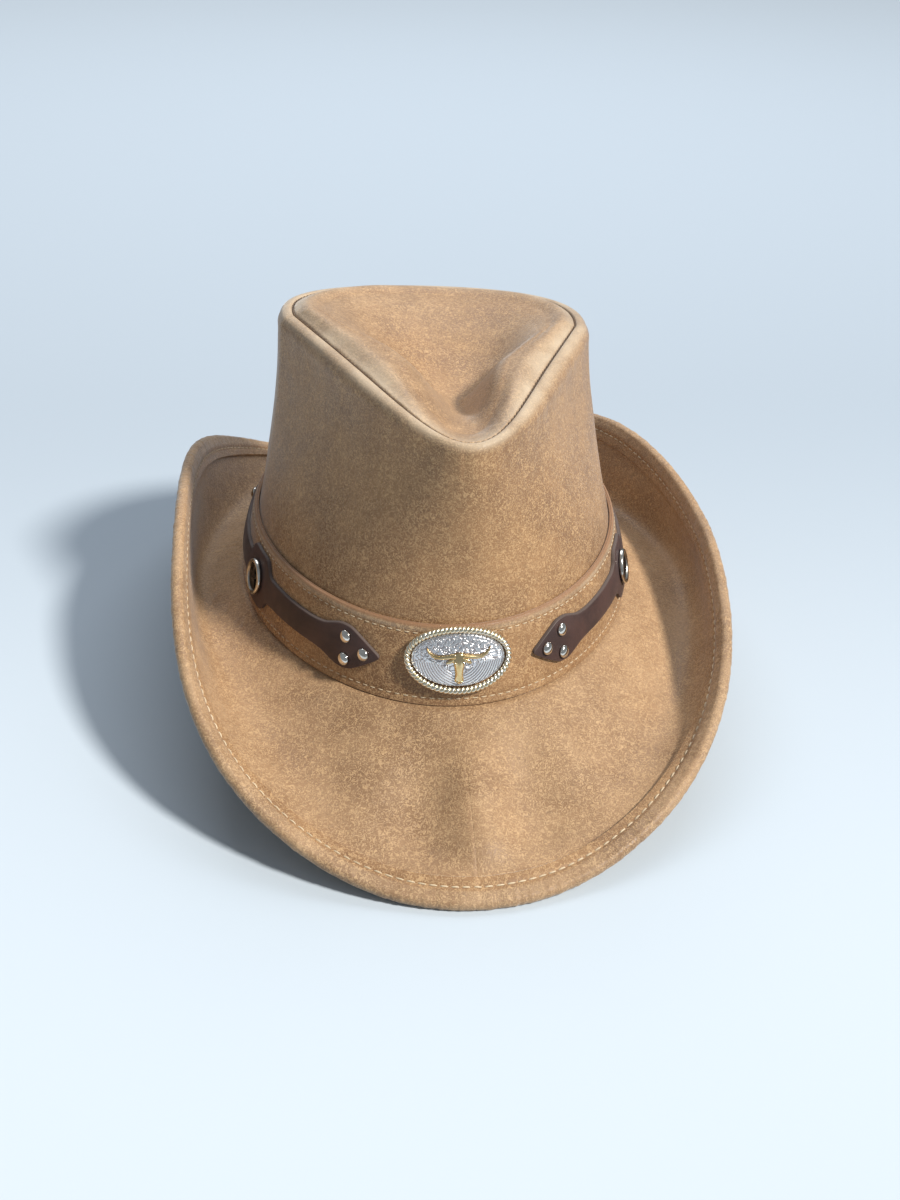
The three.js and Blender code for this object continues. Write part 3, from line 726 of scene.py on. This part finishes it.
def crown_tip():
    rows = tip_rows(6, 44)
    up = normals(rows)
    up *= np.sign(up[..., 2:])
    count = len(rows)
    step = np.arange(count)[:, None]
    free = smooth(step, 3, 14)
    soft = 0.6 * noise(rows, 30, 21) + 0.28 * noise(rows, 12, 23)
    pucker = 0.14 * noise(np.array([on_ring(3.0, v / 9) for v in step * np.ones(CROWN_STATIONS)]), 1.0, 29)
    relief = free * soft * smooth(step, count, count - 8) + pucker * smooth(step, 2, 6) * smooth(step, 20, 8)
    top = rows + up * relief[..., None]
    under = rows - up * LEATHER
    inward = flat_unit(DENT - seam_row)
    for r, d in enumerate((0.0, 0.08, 0.16)):
        under[r] = rows[r] + inward * d * LEATHER - UP * LEATHER
    # Painted sheen: a pale grey along the tip's ridge and faintly over the whole tip, with some rubbed wear
    # on the crest.
    crest = np.exp(-((step - 10) / 8.0) ** 2) * (0.5 + 0.4 * crown_full)
    crest = np.maximum(crest, 0.06 + 0.1 * noise(rows, 34, 27))
    wear = np.concatenate([(crest * np.ones_like(relief))[::-1], np.zeros_like(relief)])
    poles = [top[-1].mean(0), under[-1].mean(0)]
    piece = ringed("crown_top_leather", [*top[::-1], *under], HAT, poles, wear=wear)
    return place(piece, "hat", "hat_leather", "crown_tip")


def crown_lining():
    keep = slice(0, None, 2)
    wall = wall_rows(20, 1)
    wall = (wall - normals(wall) * (LEATHER + GAP))[1:-5]
    foot = oval(crown_th, 3.0, WALL_OFF - LEATHER - GAP - 0.1)
    corner = seam_row - out_dir * 1.0 - UP * 8.5
    tip = tip_rows(1, 20)
    up = normals(tip)
    up *= np.sign(up[..., 2:])
    tip = (tip - up * (LEATHER + GAP + 2.4))[3:]
    rows = np.array([foot, *wall, corner, *tip])[:, keep]
    inner = rows - np.concatenate([normals(rows[:-len(tip)]), up[3:][:, keep]]) * LINING
    inner[0] = oval(crown_th, 3.0, WALL_OFF - LEATHER - GAP - 0.1 - LINING)[keep]
    poles = [rows[-1].mean(0), inner[-1].mean(0)]
    piece = ringed("crown_lining_cloth", [*rows[::-1], *inner], LINER, poles)
    place(piece, "hat", "lining_cloth", "crown_lining")
    return piece


def sweatband():
    off = WALL_OFF - LEATHER - LINING - 3 * GAP
    heights = np.array([-1.5, -1.0, 2, 6, 12, 18, 24, 30, 34, 35.4, 36])
    outer, inner = [], []
    for w in heights:
        lean = smooth(w, 8, SWEAT_HEIGHT) * (1.4 + 0.9 * noise(on_ring(22, w * 0.02), 1.0, 41))
        bevel = 0.35 * (w in (heights[0], heights[-1]))
        groove = 0.25 * math.exp(-((w - 2.0) / 0.8) ** 2)
        outer.append(oval(crown_th, w, off - bevel - lean))
        inner.append(oval(crown_th, w, off - SWEAT_THICK + bevel + groove - lean))
    edge = np.array([float(w in (heights[0], heights[-1])) for w in heights])[:, None]
    edge = np.concatenate([edge, edge[::-1]]) * np.ones(CROWN_STATIONS)
    piece = ringed("sweatband_leather", [*outer, *inner[::-1]], SWEAT, edge=edge)
    place(piece, "hat", "sweat_leather", "sweatband")
    row = oval(crown_th, 2.0, off - SWEAT_THICK + 0.2)
    stitch_row("sweatband_stitches", row, -flat_unit(row), *SWEAT_STITCH, THREAD, "hat", "sweat_leather")


def crown_seam_stitches():
    path = seam_row - UP * SEAM_STITCH_SUNK
    stitch_row("crown_seam_stitches", path, np.tile(UP, (len(path), 1)), *SEAM_STITCH, DARK_THREAD,
               "hat", "hat_leather")


# ---- brim ----
BRIM_STATIONS = 1440
# Amount of the pale grey painted over the whole brim, partly wear, partly painted sheen.
BRIM_WEAR_AND_SHEEN = 0.12
brim_th = around(BRIM_STATIONS)


def brim_up(rows):
    return -normals(rows)


def brim_wave(rows, th, t):
    """Slow waves of the brim leather: a low ridge down the front, and gentle unevenness."""
    angle = np.arctan2(np.sin(th), np.cos(th))
    front = np.exp(-(angle / 0.42) ** 2) * np.cos((angle - 0.04) * TAU / 0.43)
    swell = smooth(t, 0.05, 0.55) * smooth(t, 1.0, 0.8)
    return swell * (3.0 * front + 1.2 * noise(rows, 55, 51) + 0.4 * noise(rows, 20, 53))


def brim_creases(th, t):
    """Short flex wrinkles that fan out from the crown where the sides curl up."""
    side = np.abs(np.sin(th)) ** 3
    run = 100 * th + 26 * t * np.sign(np.sin(th))
    radius = 100.0
    place_at = vec(radius * np.cos(run / radius), radius * np.sin(run / radius), t * 92 * 0.22)
    wrinkle = noise(place_at, 2.5, 57) + 0.5 * noise(place_at, 1.4, 59)
    window = smooth(t, 0.02, 0.1) * smooth(t, 0.62, 0.2)
    return 0.24 * side * window * np.minimum(wrinkle, 0.15)


def brim_skins():
    stops = np.concatenate([[0, 0.01, 0.03], np.linspace(0.06, 1, 62)])
    from_edge = [7.0, 4.0, 0.6]
    middle = brim_rows(brim_th, stops, from_edge)
    shelf = oval(brim_th, 0, WALL_OFF - LEATHER - LINING)
    shelf[:, 2] = -SKIN_OUT
    middle = np.array([shelf, *middle])
    up = brim_up(middle)
    t = np.concatenate([[0], stops, [1] * len(from_edge)])[:, None] * np.ones(BRIM_STATIONS)
    th = brim_th * np.ones((len(middle), 1))
    wave = brim_wave(middle, th, t)[..., None]
    crease = brim_creases(th, t)[..., None]
    coarse = [0, 1, *range(2, len(middle) - 1, 6), len(middle) - 1]

    def lifted(off, rows=slice(None), extra=0.0):
        return (middle + up * (off + wave + extra))[rows]

    wear = np.zeros((len(middle) + len(coarse), BRIM_STATIONS))
    wear[:len(middle)] = BRIM_WEAR_AND_SHEEN
    top = [*lifted(SKIN_OUT, extra=crease), *lifted(SKIN_IN, coarse)[::-1]]
    piece = ringed("brim_upper_leather", top, HAT, wear=wear)
    place(piece, "hat", "hat_leather", "brim_top")
    under = [*lifted(-SKIN_OUT, extra=0.4 * crease), *lifted(-SKIN_IN, coarse)[::-1]]
    piece = ringed("brim_under_leather", under, UNDER, wear=wear)
    place(piece, "hat", "under_leather", "brim_under")


HEM_AT = 5.0                   # the stitch line, in from the edge
HEM_SIDE = [9.5, 9.42, 9.1, 8.4, 7.4, 6.4, 5.7, 5.3, 5.0, 4.7, 4.3, 3.6, 2.6, 1.6, 0.7, 0.0]


def hem_puff(d):
    """The hem's outer face over its even thickness: rounded cut edge, sunk stitches, full roll."""
    cut = -1.0 * math.exp(-(HEM_WIDTH - d) / 0.12) if d > 9.3 else 0.0
    return cut - 0.42 * math.exp(-((d - HEM_AT) / 0.75) ** 2) + 0.28 * math.exp(-((d - 2.3) / 1.6) ** 2)


def brim_hem():
    rows = brim_rows(brim_th, [], [HEM_WIDTH + 2.5, *HEM_SIDE])
    up = brim_up(rows)[1:]
    rows = rows[1:]
    edge = rows[-1]
    out = unit(edge - rows[-3])
    turn = [math.radians(a) for a in range(78, -79, -12)]
    steps = np.linalg.norm(np.roll(edge, -1, 0) - edge, axis=1)
    run = np.cumsum(steps)
    radius = run[-1] / TAU
    loop = run / radius

    def ribs(v, strength):
        at = vec(radius * np.cos(loop), radius * np.sin(loop), v)
        return strength * (0.14 * noise(at * (1, 1, 0.18), 1.5, 61) + 0.07 * noise(at, 3.3, 63))

    def face(sign, thick, fine):
        made = []
        for r, d in enumerate(HEM_SIDE):
            lift = thick + fine * hem_puff(d) + fine * ribs(d * sign, smooth(d, 6.5, 0.5) * 0.9)
            made.append(rows[r] + up[r] * (sign * np.ones(BRIM_STATIONS) * lift)[:, None])
        return made

    def fold(thick, fine):
        made = []
        for a in turn:
            reach = thick + fine * (ribs(a * 4, 1.4) + 0.05)
            reach = (np.ones(BRIM_STATIONS) * reach)[:, None]
            made.append(edge + out * (HEM_SHIFT + reach * math.cos(a)) + up[-1] * reach * math.sin(a))
        return made

    outer = np.array([*face(1, HEM_OUT, 1), *fold(HEM_OUT, 1), *face(-1, HEM_OUT, 1)[::-1]])
    outer[..., 2] = np.maximum(outer[..., 2], FLOOR)
    inner = [*face(1, HEM_IN, 0)[::3], *fold(HEM_IN, 0)[::2], *face(-1, HEM_IN, 0)[::3][::-1]]
    wear = np.zeros((len(outer) + len(inner), BRIM_STATIONS))
    side = len(HEM_SIDE)
    wear[side - 4:side + len(turn) + 4] = 0.2
    wear[:2] = wear[len(outer) - 2:len(outer)] = 0.35
    piece = ringed("brim_hem_leather", [*outer, *inner[::-1]], HEM, wear=wear)
    place(piece, "hat", "hem_leather", "brim_hem")
    sunk = HEM_SIDE.index(HEM_AT)
    for name, sign in (("upper", 1), ("under", -1)):
        path = rows[sunk] + up[sunk] * sign * (HEM_OUT + hem_puff(HEM_AT))
        stitch_row(f"hem_stitches_{name}", path, up[sunk] * sign, *HEM_STITCH, THREAD,
                   "hat", "hem_leather", 2.0 * (sign < 0))


# ---- hat band ----
BAND_SEWN_AT = (3.3, BAND_HEIGHT - 3.6)
# offset from the outer face and height, from the foot up the outer face and down the inner one
BAND_TOP = [(-0.12, 0.35), (-0.45, 0.08), (-0.85, 0.0), (-1.03, -0.12), (-1.1, -0.32), (-1.17, -0.12),
            (-1.4, 0.0), (-1.75, 0.08), (-2.08, 0.35)]


def hat_band():
    th = around(1080)

    def face(w):
        sunk = sum(0.3 * math.exp(-((w - at) / 0.7) ** 2) for at in BAND_SEWN_AT)
        roll = 0.12 * math.sin(math.pi * w / BAND_HEIGHT)
        at = oval(th, w, 0)
        return at + flat_unit(at) * (0.16 * noise(at, 24, 71) + roll - sunk)[:, None]

    heights = [0.8, 1.6, 2.4, 2.8, 3.3, 3.8, 4.3, *range(6, 9, 2), *range(11, 27, 3), 28, 28.9, 29.4, 29.9,
               30.6, 31.6]
    rows = [oval(th, GAP, -1.75), oval(th, GAP, -0.45), oval(th, GAP + 0.2, -0.1)]
    rows += [face(w) for w in heights]
    rows += [oval(th, BAND_HEIGHT - abs(z) - 0.05, off) for off, z in BAND_TOP]
    rows += [oval(th, w, -BAND_THICK) for w in (28, 17, 6, GAP + 0.4)]
    rows = np.array(rows)
    first = 3 + len(heights)
    rear = np.exp(-((np.arange(len(th)) - len(th) // 2) / 1.1) ** 2) * 0.5
    rows[3:first] -= flat_unit(rows[3:first]) * rear[:, None]
    edge = np.zeros((len(rows), len(th)))
    edge[first:first + len(BAND_TOP)] = 1
    edge[:3] = 1
    wear = np.zeros_like(edge)
    wear[first - 2:first] = 0.4
    piece = ringed("hat_band_leather", rows, BAND_EDGED, edge=edge, wear=wear)
    place(piece, "band", "band_leather", "hat_band")
    for name, w in zip(("lower", "upper"), BAND_SEWN_AT):
        path = face(w)
        stitch_row(f"band_stitches_{name}", path, flat_unit(path), *BAND_STITCH, THREAD, "band",
                   "band_leather", w)


def edged_band(material):
    """Band leather whose cut edges are burnished orange tan, with the two plies showing."""
    copy = material.copy()
    copy.name = "band_leather_edged_surface"
    tree = copy.node_tree
    shader = tree.nodes["Principled BSDF"]
    link = shader.inputs["Base Color"].links[0]
    mixer = tree.nodes.new("ShaderNodeMix")
    mixer.data_type = "RGBA"
    attribute = tree.nodes.new("ShaderNodeAttribute")
    attribute.attribute_name = "edge"
    tree.links.new(attribute.outputs["Fac"], mixer.inputs[0])
    tree.links.new(link.from_socket, mixer.inputs[6])
    mixer.inputs[7].default_value = srgb(150, 114, 84)
    tree.links.new(mixer.outputs[2], shader.inputs["Base Color"])
    return copy


BAND_EDGED = edged_band(BAND)


# ---- straps and their metal ----
SIDES = (("right", -1), ("left", 1))
ENDS = (("front", -1), ("rear", 1))


def strap(name, side):
    shape = np.array([(-d, w) for d, w in reversed(STRAP_SHAPE)] + STRAP_SHAPE[1:])
    shape = eased(shape, 8)
    tip = [(shape[0, 0] - 0.5, 0.12), (shape[-1, 0] + 0.5, 0.12)]
    shape = np.array([tip[0], *shape, tip[1]])
    across = np.linspace(-1, 1, 13)
    bottom, top = GAP, GAP + STRAP_THICK
    rows, edge = [], []
    for d, w in shape:
        bevel = min(0.45, w * 0.5)
        crown = 0.25 * (1 - across ** 2) * min(1, w / 5)
        ys = np.concatenate([across * (w - bevel), [w - bevel * 0.3, w, w],
                             across[::-1] * w, [-w, -w, -(w - bevel * 0.3)]])
        zs = np.concatenate([top - 0.25 + crown, [top - 0.36, top - 0.62, bottom + 0.2],
                             np.full(13, bottom), [bottom + 0.2, top - 0.62, top - 0.36]])
        marks = np.concatenate([[0] * 13, [0.5, 1, 1], [0.6] * 13, [1, 1, 0.5]])
        rows.append(on_band(side * STRAP_AT + d, STRAP_MID + ys, zs))
        edge.append(marks)
    rows, edge = np.array(rows), np.array(edge, float)
    poles = [rows[0].mean(0), rows[-1].mean(0)]
    piece = ringed(f"strap_{name}_leather", rows, STRAP, poles, sharp=50, edge=edge)
    place(piece, "band", "strap_leather", f"strap_{name}")


def dome(radius, height, base, steps=9):
    """Profile of a domed head that springs from a short upright rim."""
    lift = [(radius * math.cos(a), base + 0.35 + (height - 0.35) * math.sin(a))
            for a in np.linspace(0, math.pi / 2, steps)[:-1]]
    return [(radius * 0.96, base), (radius, base + 0.12), *lift, (0, base + height)]


def rivets(name, side):
    shank = [(0, 0.1 - BAND_THICK), (SHANK_R, 0.1 - BAND_THICK), (SHANK_R, ON_STRAP - 0.1)]
    body = lathe(shank + dome(RIVET_R, 1.7, ON_STRAP - 0.1), 28)
    for end, way in ENDS:
        for i, (d, w) in enumerate(RIVETS, 1):
            points, faces = wrapped(body, side * (STRAP_AT + way * d), STRAP_MID + w)
            node = f"rivet_{name}_{end}_{i}"
            place(make(f"{node}_domed", points, faces, NICKEL, 60), "band", "rivet_nickel", node)


CUP = [(0, 0), (7.0, 0), (7.4, 0.3), (7.6, 0.9), (7.5, 1.5), (7.15, 1.95), (6.7, 2.1), (6.25, 1.95),
       (5.95, 1.55), (5.85, 1.0), (5.7, 0.8), (3.0, 0.75), (0, 0.75)]
STAR_POINTS, STAR_TIP, STAR_NOTCH = 5, 5.3, 2.05


def side_concho(name, side):
    profile = [(r, ON_STRAP + z) for r, z in CUP]
    points, faces = lathe(profile, 64)
    deep = smooth(np.hypot(points[:, 0], points[:, 1]), 6.1, 5.7)
    points, faces = wrapped((points, faces), side * STRAP_AT, STRAP_MID)
    piece = make(f"side_concho_{name}_cup", points, faces, SILVER, 40, deep=deep)
    place(piece, "band", "concho_silver", f"side_concho_{name}")


def side_star(name, side):
    """Five-point star with a ridge down each point and bevelled rims."""
    base = ON_STRAP + 0.78 + GAP * 0.2
    count = 2 * STAR_POINTS
    angle = math.pi / 2 + np.arange(count) * math.pi / STAR_POINTS
    reach = np.where(np.arange(count) % 2, STAR_NOTCH, STAR_TIP)
    rows = [vec(k * reach * np.cos(angle), k * reach * np.sin(angle), base + z)
            for k, z in ((0.97, 0.0), (1.0, 0.12), (1.0, 0.34), (0.94, 0.45))]
    ridge = np.where(np.arange(count) % 2, 0.62, 0.95)
    rows.append(vec(0.5 * reach * np.cos(angle), 0.5 * reach * np.sin(angle), base + ridge))
    points = np.concatenate(rows + [np.array([(0, 0, base), (0, 0, base + 1.3)])])
    faces = [grid_faces(len(rows), count, False), *fans(len(rows), count)]
    points, faces = wrapped((points, faces), side * STRAP_AT, STRAP_MID)
    piece = make(f"side_star_{name}_faceted", points, faces, DARK, 12)
    place(piece, "band", "star_dark", f"side_star_{name}")


# ---- front concho ----
PLATE_W, PLATE_H = OVAL_W - 2 * ROPE_R - GAP, OVAL_H - 2 * ROPE_R - GAP


def plate_dome(x, y):
    """Height of the plate over the band, without its engraving."""
    return PLATE_Z + 1.1 + 0.65 * (1 - np.clip((x / PLATE_W) ** 2 + (y / PLATE_H) ** 2, 0, 1))


def engraving(x, y):
    """Depth of the engraved lines, from 0 to 1: filigree above, curved rays below."""
    at = vec(x, y, 0.0)
    vines = np.minimum(np.abs(noise(at, 1.05, 81)), np.abs(noise(at, 1.5, 83)) * 1.3)
    depth = smooth(vines, 0.2, 0.06)
    r = np.hypot(x, (y - 4.5) * 0.9)
    rays = np.sin(r * 6.6 - 5.0 * np.arctan2(4.5 - y, np.abs(x) + 1e-6))
    garland = -1.0 - 5.2 * np.exp(-(x / 5.5) ** 2) * (np.abs(x) < PLATE_W)
    lower = smooth(y, garland + 0.4, garland - 0.4)
    depth = mix(depth, 0.8 * smooth(rays, -0.1, 0.8), lower)
    border = np.abs(np.hypot(x / PLATE_W, y / PLATE_H) - 0.95)
    return np.maximum(depth * smooth(border, 0.015, 0.03), smooth(border, 0.014, 0.006))


def concho_plate():
    columns, reach = 560, np.concatenate([np.linspace(0.01, 0.97, 130), [0.985, 1.0]])
    a = around(columns)
    rows, deep = [], []
    for k in reach:
        x, y = k * PLATE_W * np.cos(a), k * PLATE_H * np.sin(a)
        cut = engraving(x, y)
        rows.append(vec(x, y, plate_dome(x, y) - 0.2 * cut - 0.25 * smooth(k, 0.975, 1.0)))
        deep.append(cut)
    for k in (1.0, 0.5):
        rows.append(vec(k * PLATE_W * np.cos(a), k * PLATE_H * np.sin(a), PLATE_Z))
        deep.append(np.zeros(columns))
    rows = np.array(rows)
    points = rows.reshape(-1, 3)
    laid, _ = wrapped((points, None), 0, OVAL_MID)
    poles, _ = wrapped((np.array([(0, 0, PLATE_Z + 1.75), (0, 0, PLATE_Z)]), None), 0, OVAL_MID)
    piece = ringed("concho_plate_engraved", laid.reshape(rows.shape), PLATE, poles, 60, deep=np.array(deep))
    place(piece, "band", "plate_silver", "front_concho_plate")


def concho_rope():
    """Two strands twisted round the plate's rim."""
    count = ROPE_TURNS * 16
    u = around(count)
    x, y = (OVAL_W - ROPE_R) * np.cos(u), (OVAL_H - ROPE_R) * np.sin(u)
    steps = np.hypot(np.roll(x, -1) - x, np.roll(y, -1) - y)
    phase = np.cumsum(steps) / steps.sum() * ROPE_TURNS * TAU
    away = unit(vec(np.cos(u) / OVAL_W, np.sin(u) / OVAL_H, 0))
    parts = []
    for half in (0, math.pi):
        wind = phase + half
        spine = vec(x, y, PLATE_Z + ROPE_R) + 0.62 * (np.cos(wind)[:, None] * away
                                                      + np.sin(wind)[:, None] * UP)
        parts.append(tube(spine, 0.74, 10, closed=True))
    points, faces = merged(parts)
    centre = vec((OVAL_W - ROPE_R) * np.cos(u), (OVAL_H - ROPE_R) * np.sin(u), PLATE_Z + ROPE_R)
    centre = np.concatenate([np.repeat(centre, 10, 0)] * 2)
    deep = smooth(np.linalg.norm(points - centre, axis=1), 1.12, 0.8)
    points, faces = wrapped((points, faces), 0, OVAL_MID)
    piece = make("concho_rope_twisted", points, faces, ROPE, 60, deep=deep)
    place(piece, "band", "rope_silver", "front_concho_rope")


# half of a steer's head: height on the face, half width, depth of relief
SKULL = [(3.5, 0.9, 0.5), (3.1, 1.9, 1.0), (2.3, 2.6, 1.3), (1.2, 2.8, 1.5), (-0.4, 2.5, 1.6),
         (-2.2, 2.05, 1.6), (-4.2, 1.75, 1.5), (-6.0, 1.65, 1.4), (-7.4, 1.85, 1.4), (-8.4, 1.7, 1.2),
         (-9.1, 1.0, 0.7)]
HORN = [(1.6, 2.3, 0.95), (4.2, 1.95, 0.85), (7.0, 1.6, 0.78), (9.4, 1.75, 0.72), (11.2, 2.6, 0.6),
        (12.4, 3.7, 0.42), (13.0, 4.8, 0.16)]
EAR = [(2.2, 0.6, 0.5), (3.2, 0.2, 0.72), (4.2, -0.3, 0.66), (5.2, -0.9, 0.2)]


def emblem():
    """A steer's head in relief, set on the plate's dome."""
    parts = []
    skull = eased(np.array(SKULL), 4)
    a = around(28)
    rows = []
    for y, w, d in skull:
        brow = 1 + 0.12 * math.exp(-((y - 0.4) / 0.9) ** 2) * np.exp(-((np.abs(np.cos(a)) - 0.75) / 0.2) ** 2)
        x, z = w * np.cos(a) * brow, np.maximum(np.sin(a), -0.35) * d * brow
        rows.append(vec(x, y, z))
    rows = np.array(rows)
    points = np.concatenate([rows.reshape(-1, 3), [(0, 3.7, 0.1), (0, -9.4, 0.2)]])
    parts.append((points, [grid_faces(len(rows), len(a), False), *fans(len(rows), len(a))]))
    for side in (-1, 1):
        horn = eased(np.array(HORN), 5)
        path = vec(side * horn[:, 0], horn[:, 1], horn[:, 2] * 0.55)
        parts.append(tube(path, horn[:, 2], 16, tips=0.2))
        ear = eased(np.array(EAR), 4)
        points, faces = tube(vec(side * ear[:, 0], ear[:, 1], 0.45), ear[:, 2], 14, tips=0.15)
        points[:, 2] = 0.45 + (points[:, 2] - 0.45) * 0.55
        parts.append((points, faces))
        for x, y, z, r in ((1.75, -0.2, 1.3, 0.46), (0.85, -8.0, 1.2, 0.38)):
            knob = lathe([(0, -r), *[(r * math.sin(t), -r * math.cos(t)) for t in np.linspace(0.4, 2.7, 7)],
                          (0, r)], 14)
            parts.append((knob[0] + (side * x, y, z), knob[1]))
    points, faces = merged(parts)
    piece = make("concho_emblem_steer", points, faces, GOLD, 180)
    remesh = piece.modifiers.new("join", "REMESH")
    remesh.mode = "VOXEL"
    remesh.voxel_size = 0.14 * MM
    polish = piece.modifiers.new("polish", "SMOOTH")
    polish.iterations = 4
    polish.factor = 0.5
    graph = bpy.context.evaluated_depsgraph_get()
    done = bpy.data.meshes.new_from_object(piece.evaluated_get(graph))
    count = len(done.vertices)
    flat = np.empty(count * 3)
    done.vertices.foreach_get("co", flat)
    flat = (flat.reshape(-1, 3) - BAND_CENTRE) / MM
    deep = smooth(flat[:, 2], 0.75, 0.1)
    flat[:, 2] += plate_dome(flat[:, 0], flat[:, 1]) + 0.12
    laid = on_band(flat[:, 0], OVAL_MID + flat[:, 1], flat[:, 2])
    done.vertices.foreach_set("co", (laid * MM + BAND_CENTRE).ravel())
    layer = done.attributes.new("deep", "FLOAT", "POINT")
    layer.data.foreach_set("value", deep.astype(np.float32))
    done.polygons.foreach_set("use_smooth", np.ones(len(done.polygons), bool))
    done.materials.clear()
    done.materials.append(GOLD)
    piece.modifiers.clear()
    piece.data = done
    place(piece, "band", "emblem_brass", "front_emblem")


crown_wall()
crown_tip()
crown_lining()
sweatband()
crown_seam_stitches()
brim_skins()
brim_hem()
hat_band()
for name, side in SIDES:
    strap(name, side)
    rivets(name, side)
    side_concho(name, side)
    side_star(name, side)
concho_plate()
concho_rope()
emblem()


def repaint(node, material):
    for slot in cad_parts[node].material_slots:
        slot.material = material


repaint("brim_wire", WIRE)
for name, _ in SIDES:
    repaint(f"side_screw_{name}", STEEL)
    repaint(f"front_post_{name}", STEEL)


# ---- floor, light and camera ----
FLOOR_HALF = 30.0               # metres
# The floor is painted darker towards the back and lighter towards the front: a painted light falloff.
FAR_FLOOR, NEAR_FLOOR = srgb(166, 178, 190), srgb(200, 212, 223)


def floor():
    mesh = bpy.data.meshes.new("studio_floor")
    corners = [(x * FLOOR_HALF, y * FLOOR_HALF, 0) for x, y in ((-1, -1), (1, -1), (1, 1), (-1, 1))]
    mesh.from_pydata(corners, [], [(0, 1, 2, 3)])
    piece = bpy.data.objects.new("studio_floor", mesh)
    bpy.context.collection.objects.link(piece)
    s = Surface("studio_floor_surface", Roughness=0.9, Specular_IOR_Level=0.1)
    # Painted light falloff: the floor's colour runs from the near colour to the far one along Y.
    depth_at = s.new("ShaderNodeSeparateXYZ", {"Vector": s.place}).outputs["Y"]
    mesh.materials.append(s.finish(Base_Color=s.blend(s.ramp(depth_at, -0.3, 0.3), NEAR_FLOOR, FAR_FLOOR)))


SUN_AZIMUTH = math.radians(-29)   # from +X towards +Y
SUN_HEIGHT = math.radians(46)
SUN_FAR = 3.0
SUN_POWER, SUN_COLOUR, SUN_SPREAD = 4.2, (1.0, 0.95, 0.88), math.radians(8)
SOFTBOX_POWER, SOFTBOX_COLOUR, SOFTBOX_AT = 19.0, (0.93, 0.96, 1.0), (0.15, 1.1, 1.5)
SKY_COLOUR, SKY_STRENGTH = (0.79, 0.86, 0.93, 1), 0.29


def lamp(name, kind, energy, colour, position, aim, **settings):
    light = bpy.data.lights.new(name, kind)
    light.energy = energy
    light.color = colour
    for key, value in settings.items():
        setattr(light, key, value)
    piece = bpy.data.objects.new(name, light)
    bpy.context.collection.objects.link(piece)
    piece.location = position
    piece.rotation_euler = (Vector(aim) - Vector(position)).to_track_quat("-Z", "Y").to_euler()


def lights():
    middle = (0, 0, 0.08)
    level = SUN_FAR * math.cos(SUN_HEIGHT)
    key = (level * math.cos(SUN_AZIMUTH), level * math.sin(SUN_AZIMUTH), SUN_FAR * math.sin(SUN_HEIGHT))
    lamp("key", "SUN", SUN_POWER, SUN_COLOUR, key, (0, 0, 0), angle=SUN_SPREAD)
    lamp("rear_softbox", "AREA", SOFTBOX_POWER, SOFTBOX_COLOUR, SOFTBOX_AT, middle, shape="RECTANGLE",
         size=1.8, size_y=1.0)
    world = bpy.data.worlds.new("studio_sky")
    world.use_nodes = True
    background = world.node_tree.nodes["Background"]
    background.inputs["Color"].default_value = SKY_COLOUR
    background.inputs["Strength"].default_value = SKY_STRENGTH
    bpy.context.scene.world = world


CAMERA_TURNS = (-6.92, 32.98, 2.05)                     # azimuth, elevation and roll, degrees
CAMERA_PLACE = np.array([-60.24, -560.30, 349.57])     # from the middle of the band line
CAMERA_LENS = 42


def camera():
    """Three quarters from above the front, a little to the wearer's right, rolled slightly."""
    azimuth, elevation, roll = map(math.radians, CAMERA_TURNS)
    away = np.array([math.sin(azimuth) * math.cos(elevation), -math.cos(azimuth) * math.cos(elevation),
                     math.sin(elevation)])
    right = unit(np.cross(-away, UP))
    upward = np.cross(right, -away)
    x = right * math.cos(roll) + upward * math.sin(roll)
    y = -right * math.sin(roll) + upward * math.cos(roll)
    position = BAND_CENTRE + CAMERA_PLACE * MM
    lens = bpy.data.cameras.new("camera")
    lens.lens = CAMERA_LENS
    lens.sensor_width = 36
    piece = bpy.data.objects.new("camera", lens)
    bpy.context.collection.objects.link(piece)
    piece.matrix_world = Matrix([[*map(float, row), float(p)]
                                 for row, p in zip(np.stack([x, y, away], 1), position)] + [[0, 0, 0, 1]])
    bpy.context.scene.camera = piece


floor()
lights()
camera()
bpy.context.scene.view_settings.view_transform = "Standard"
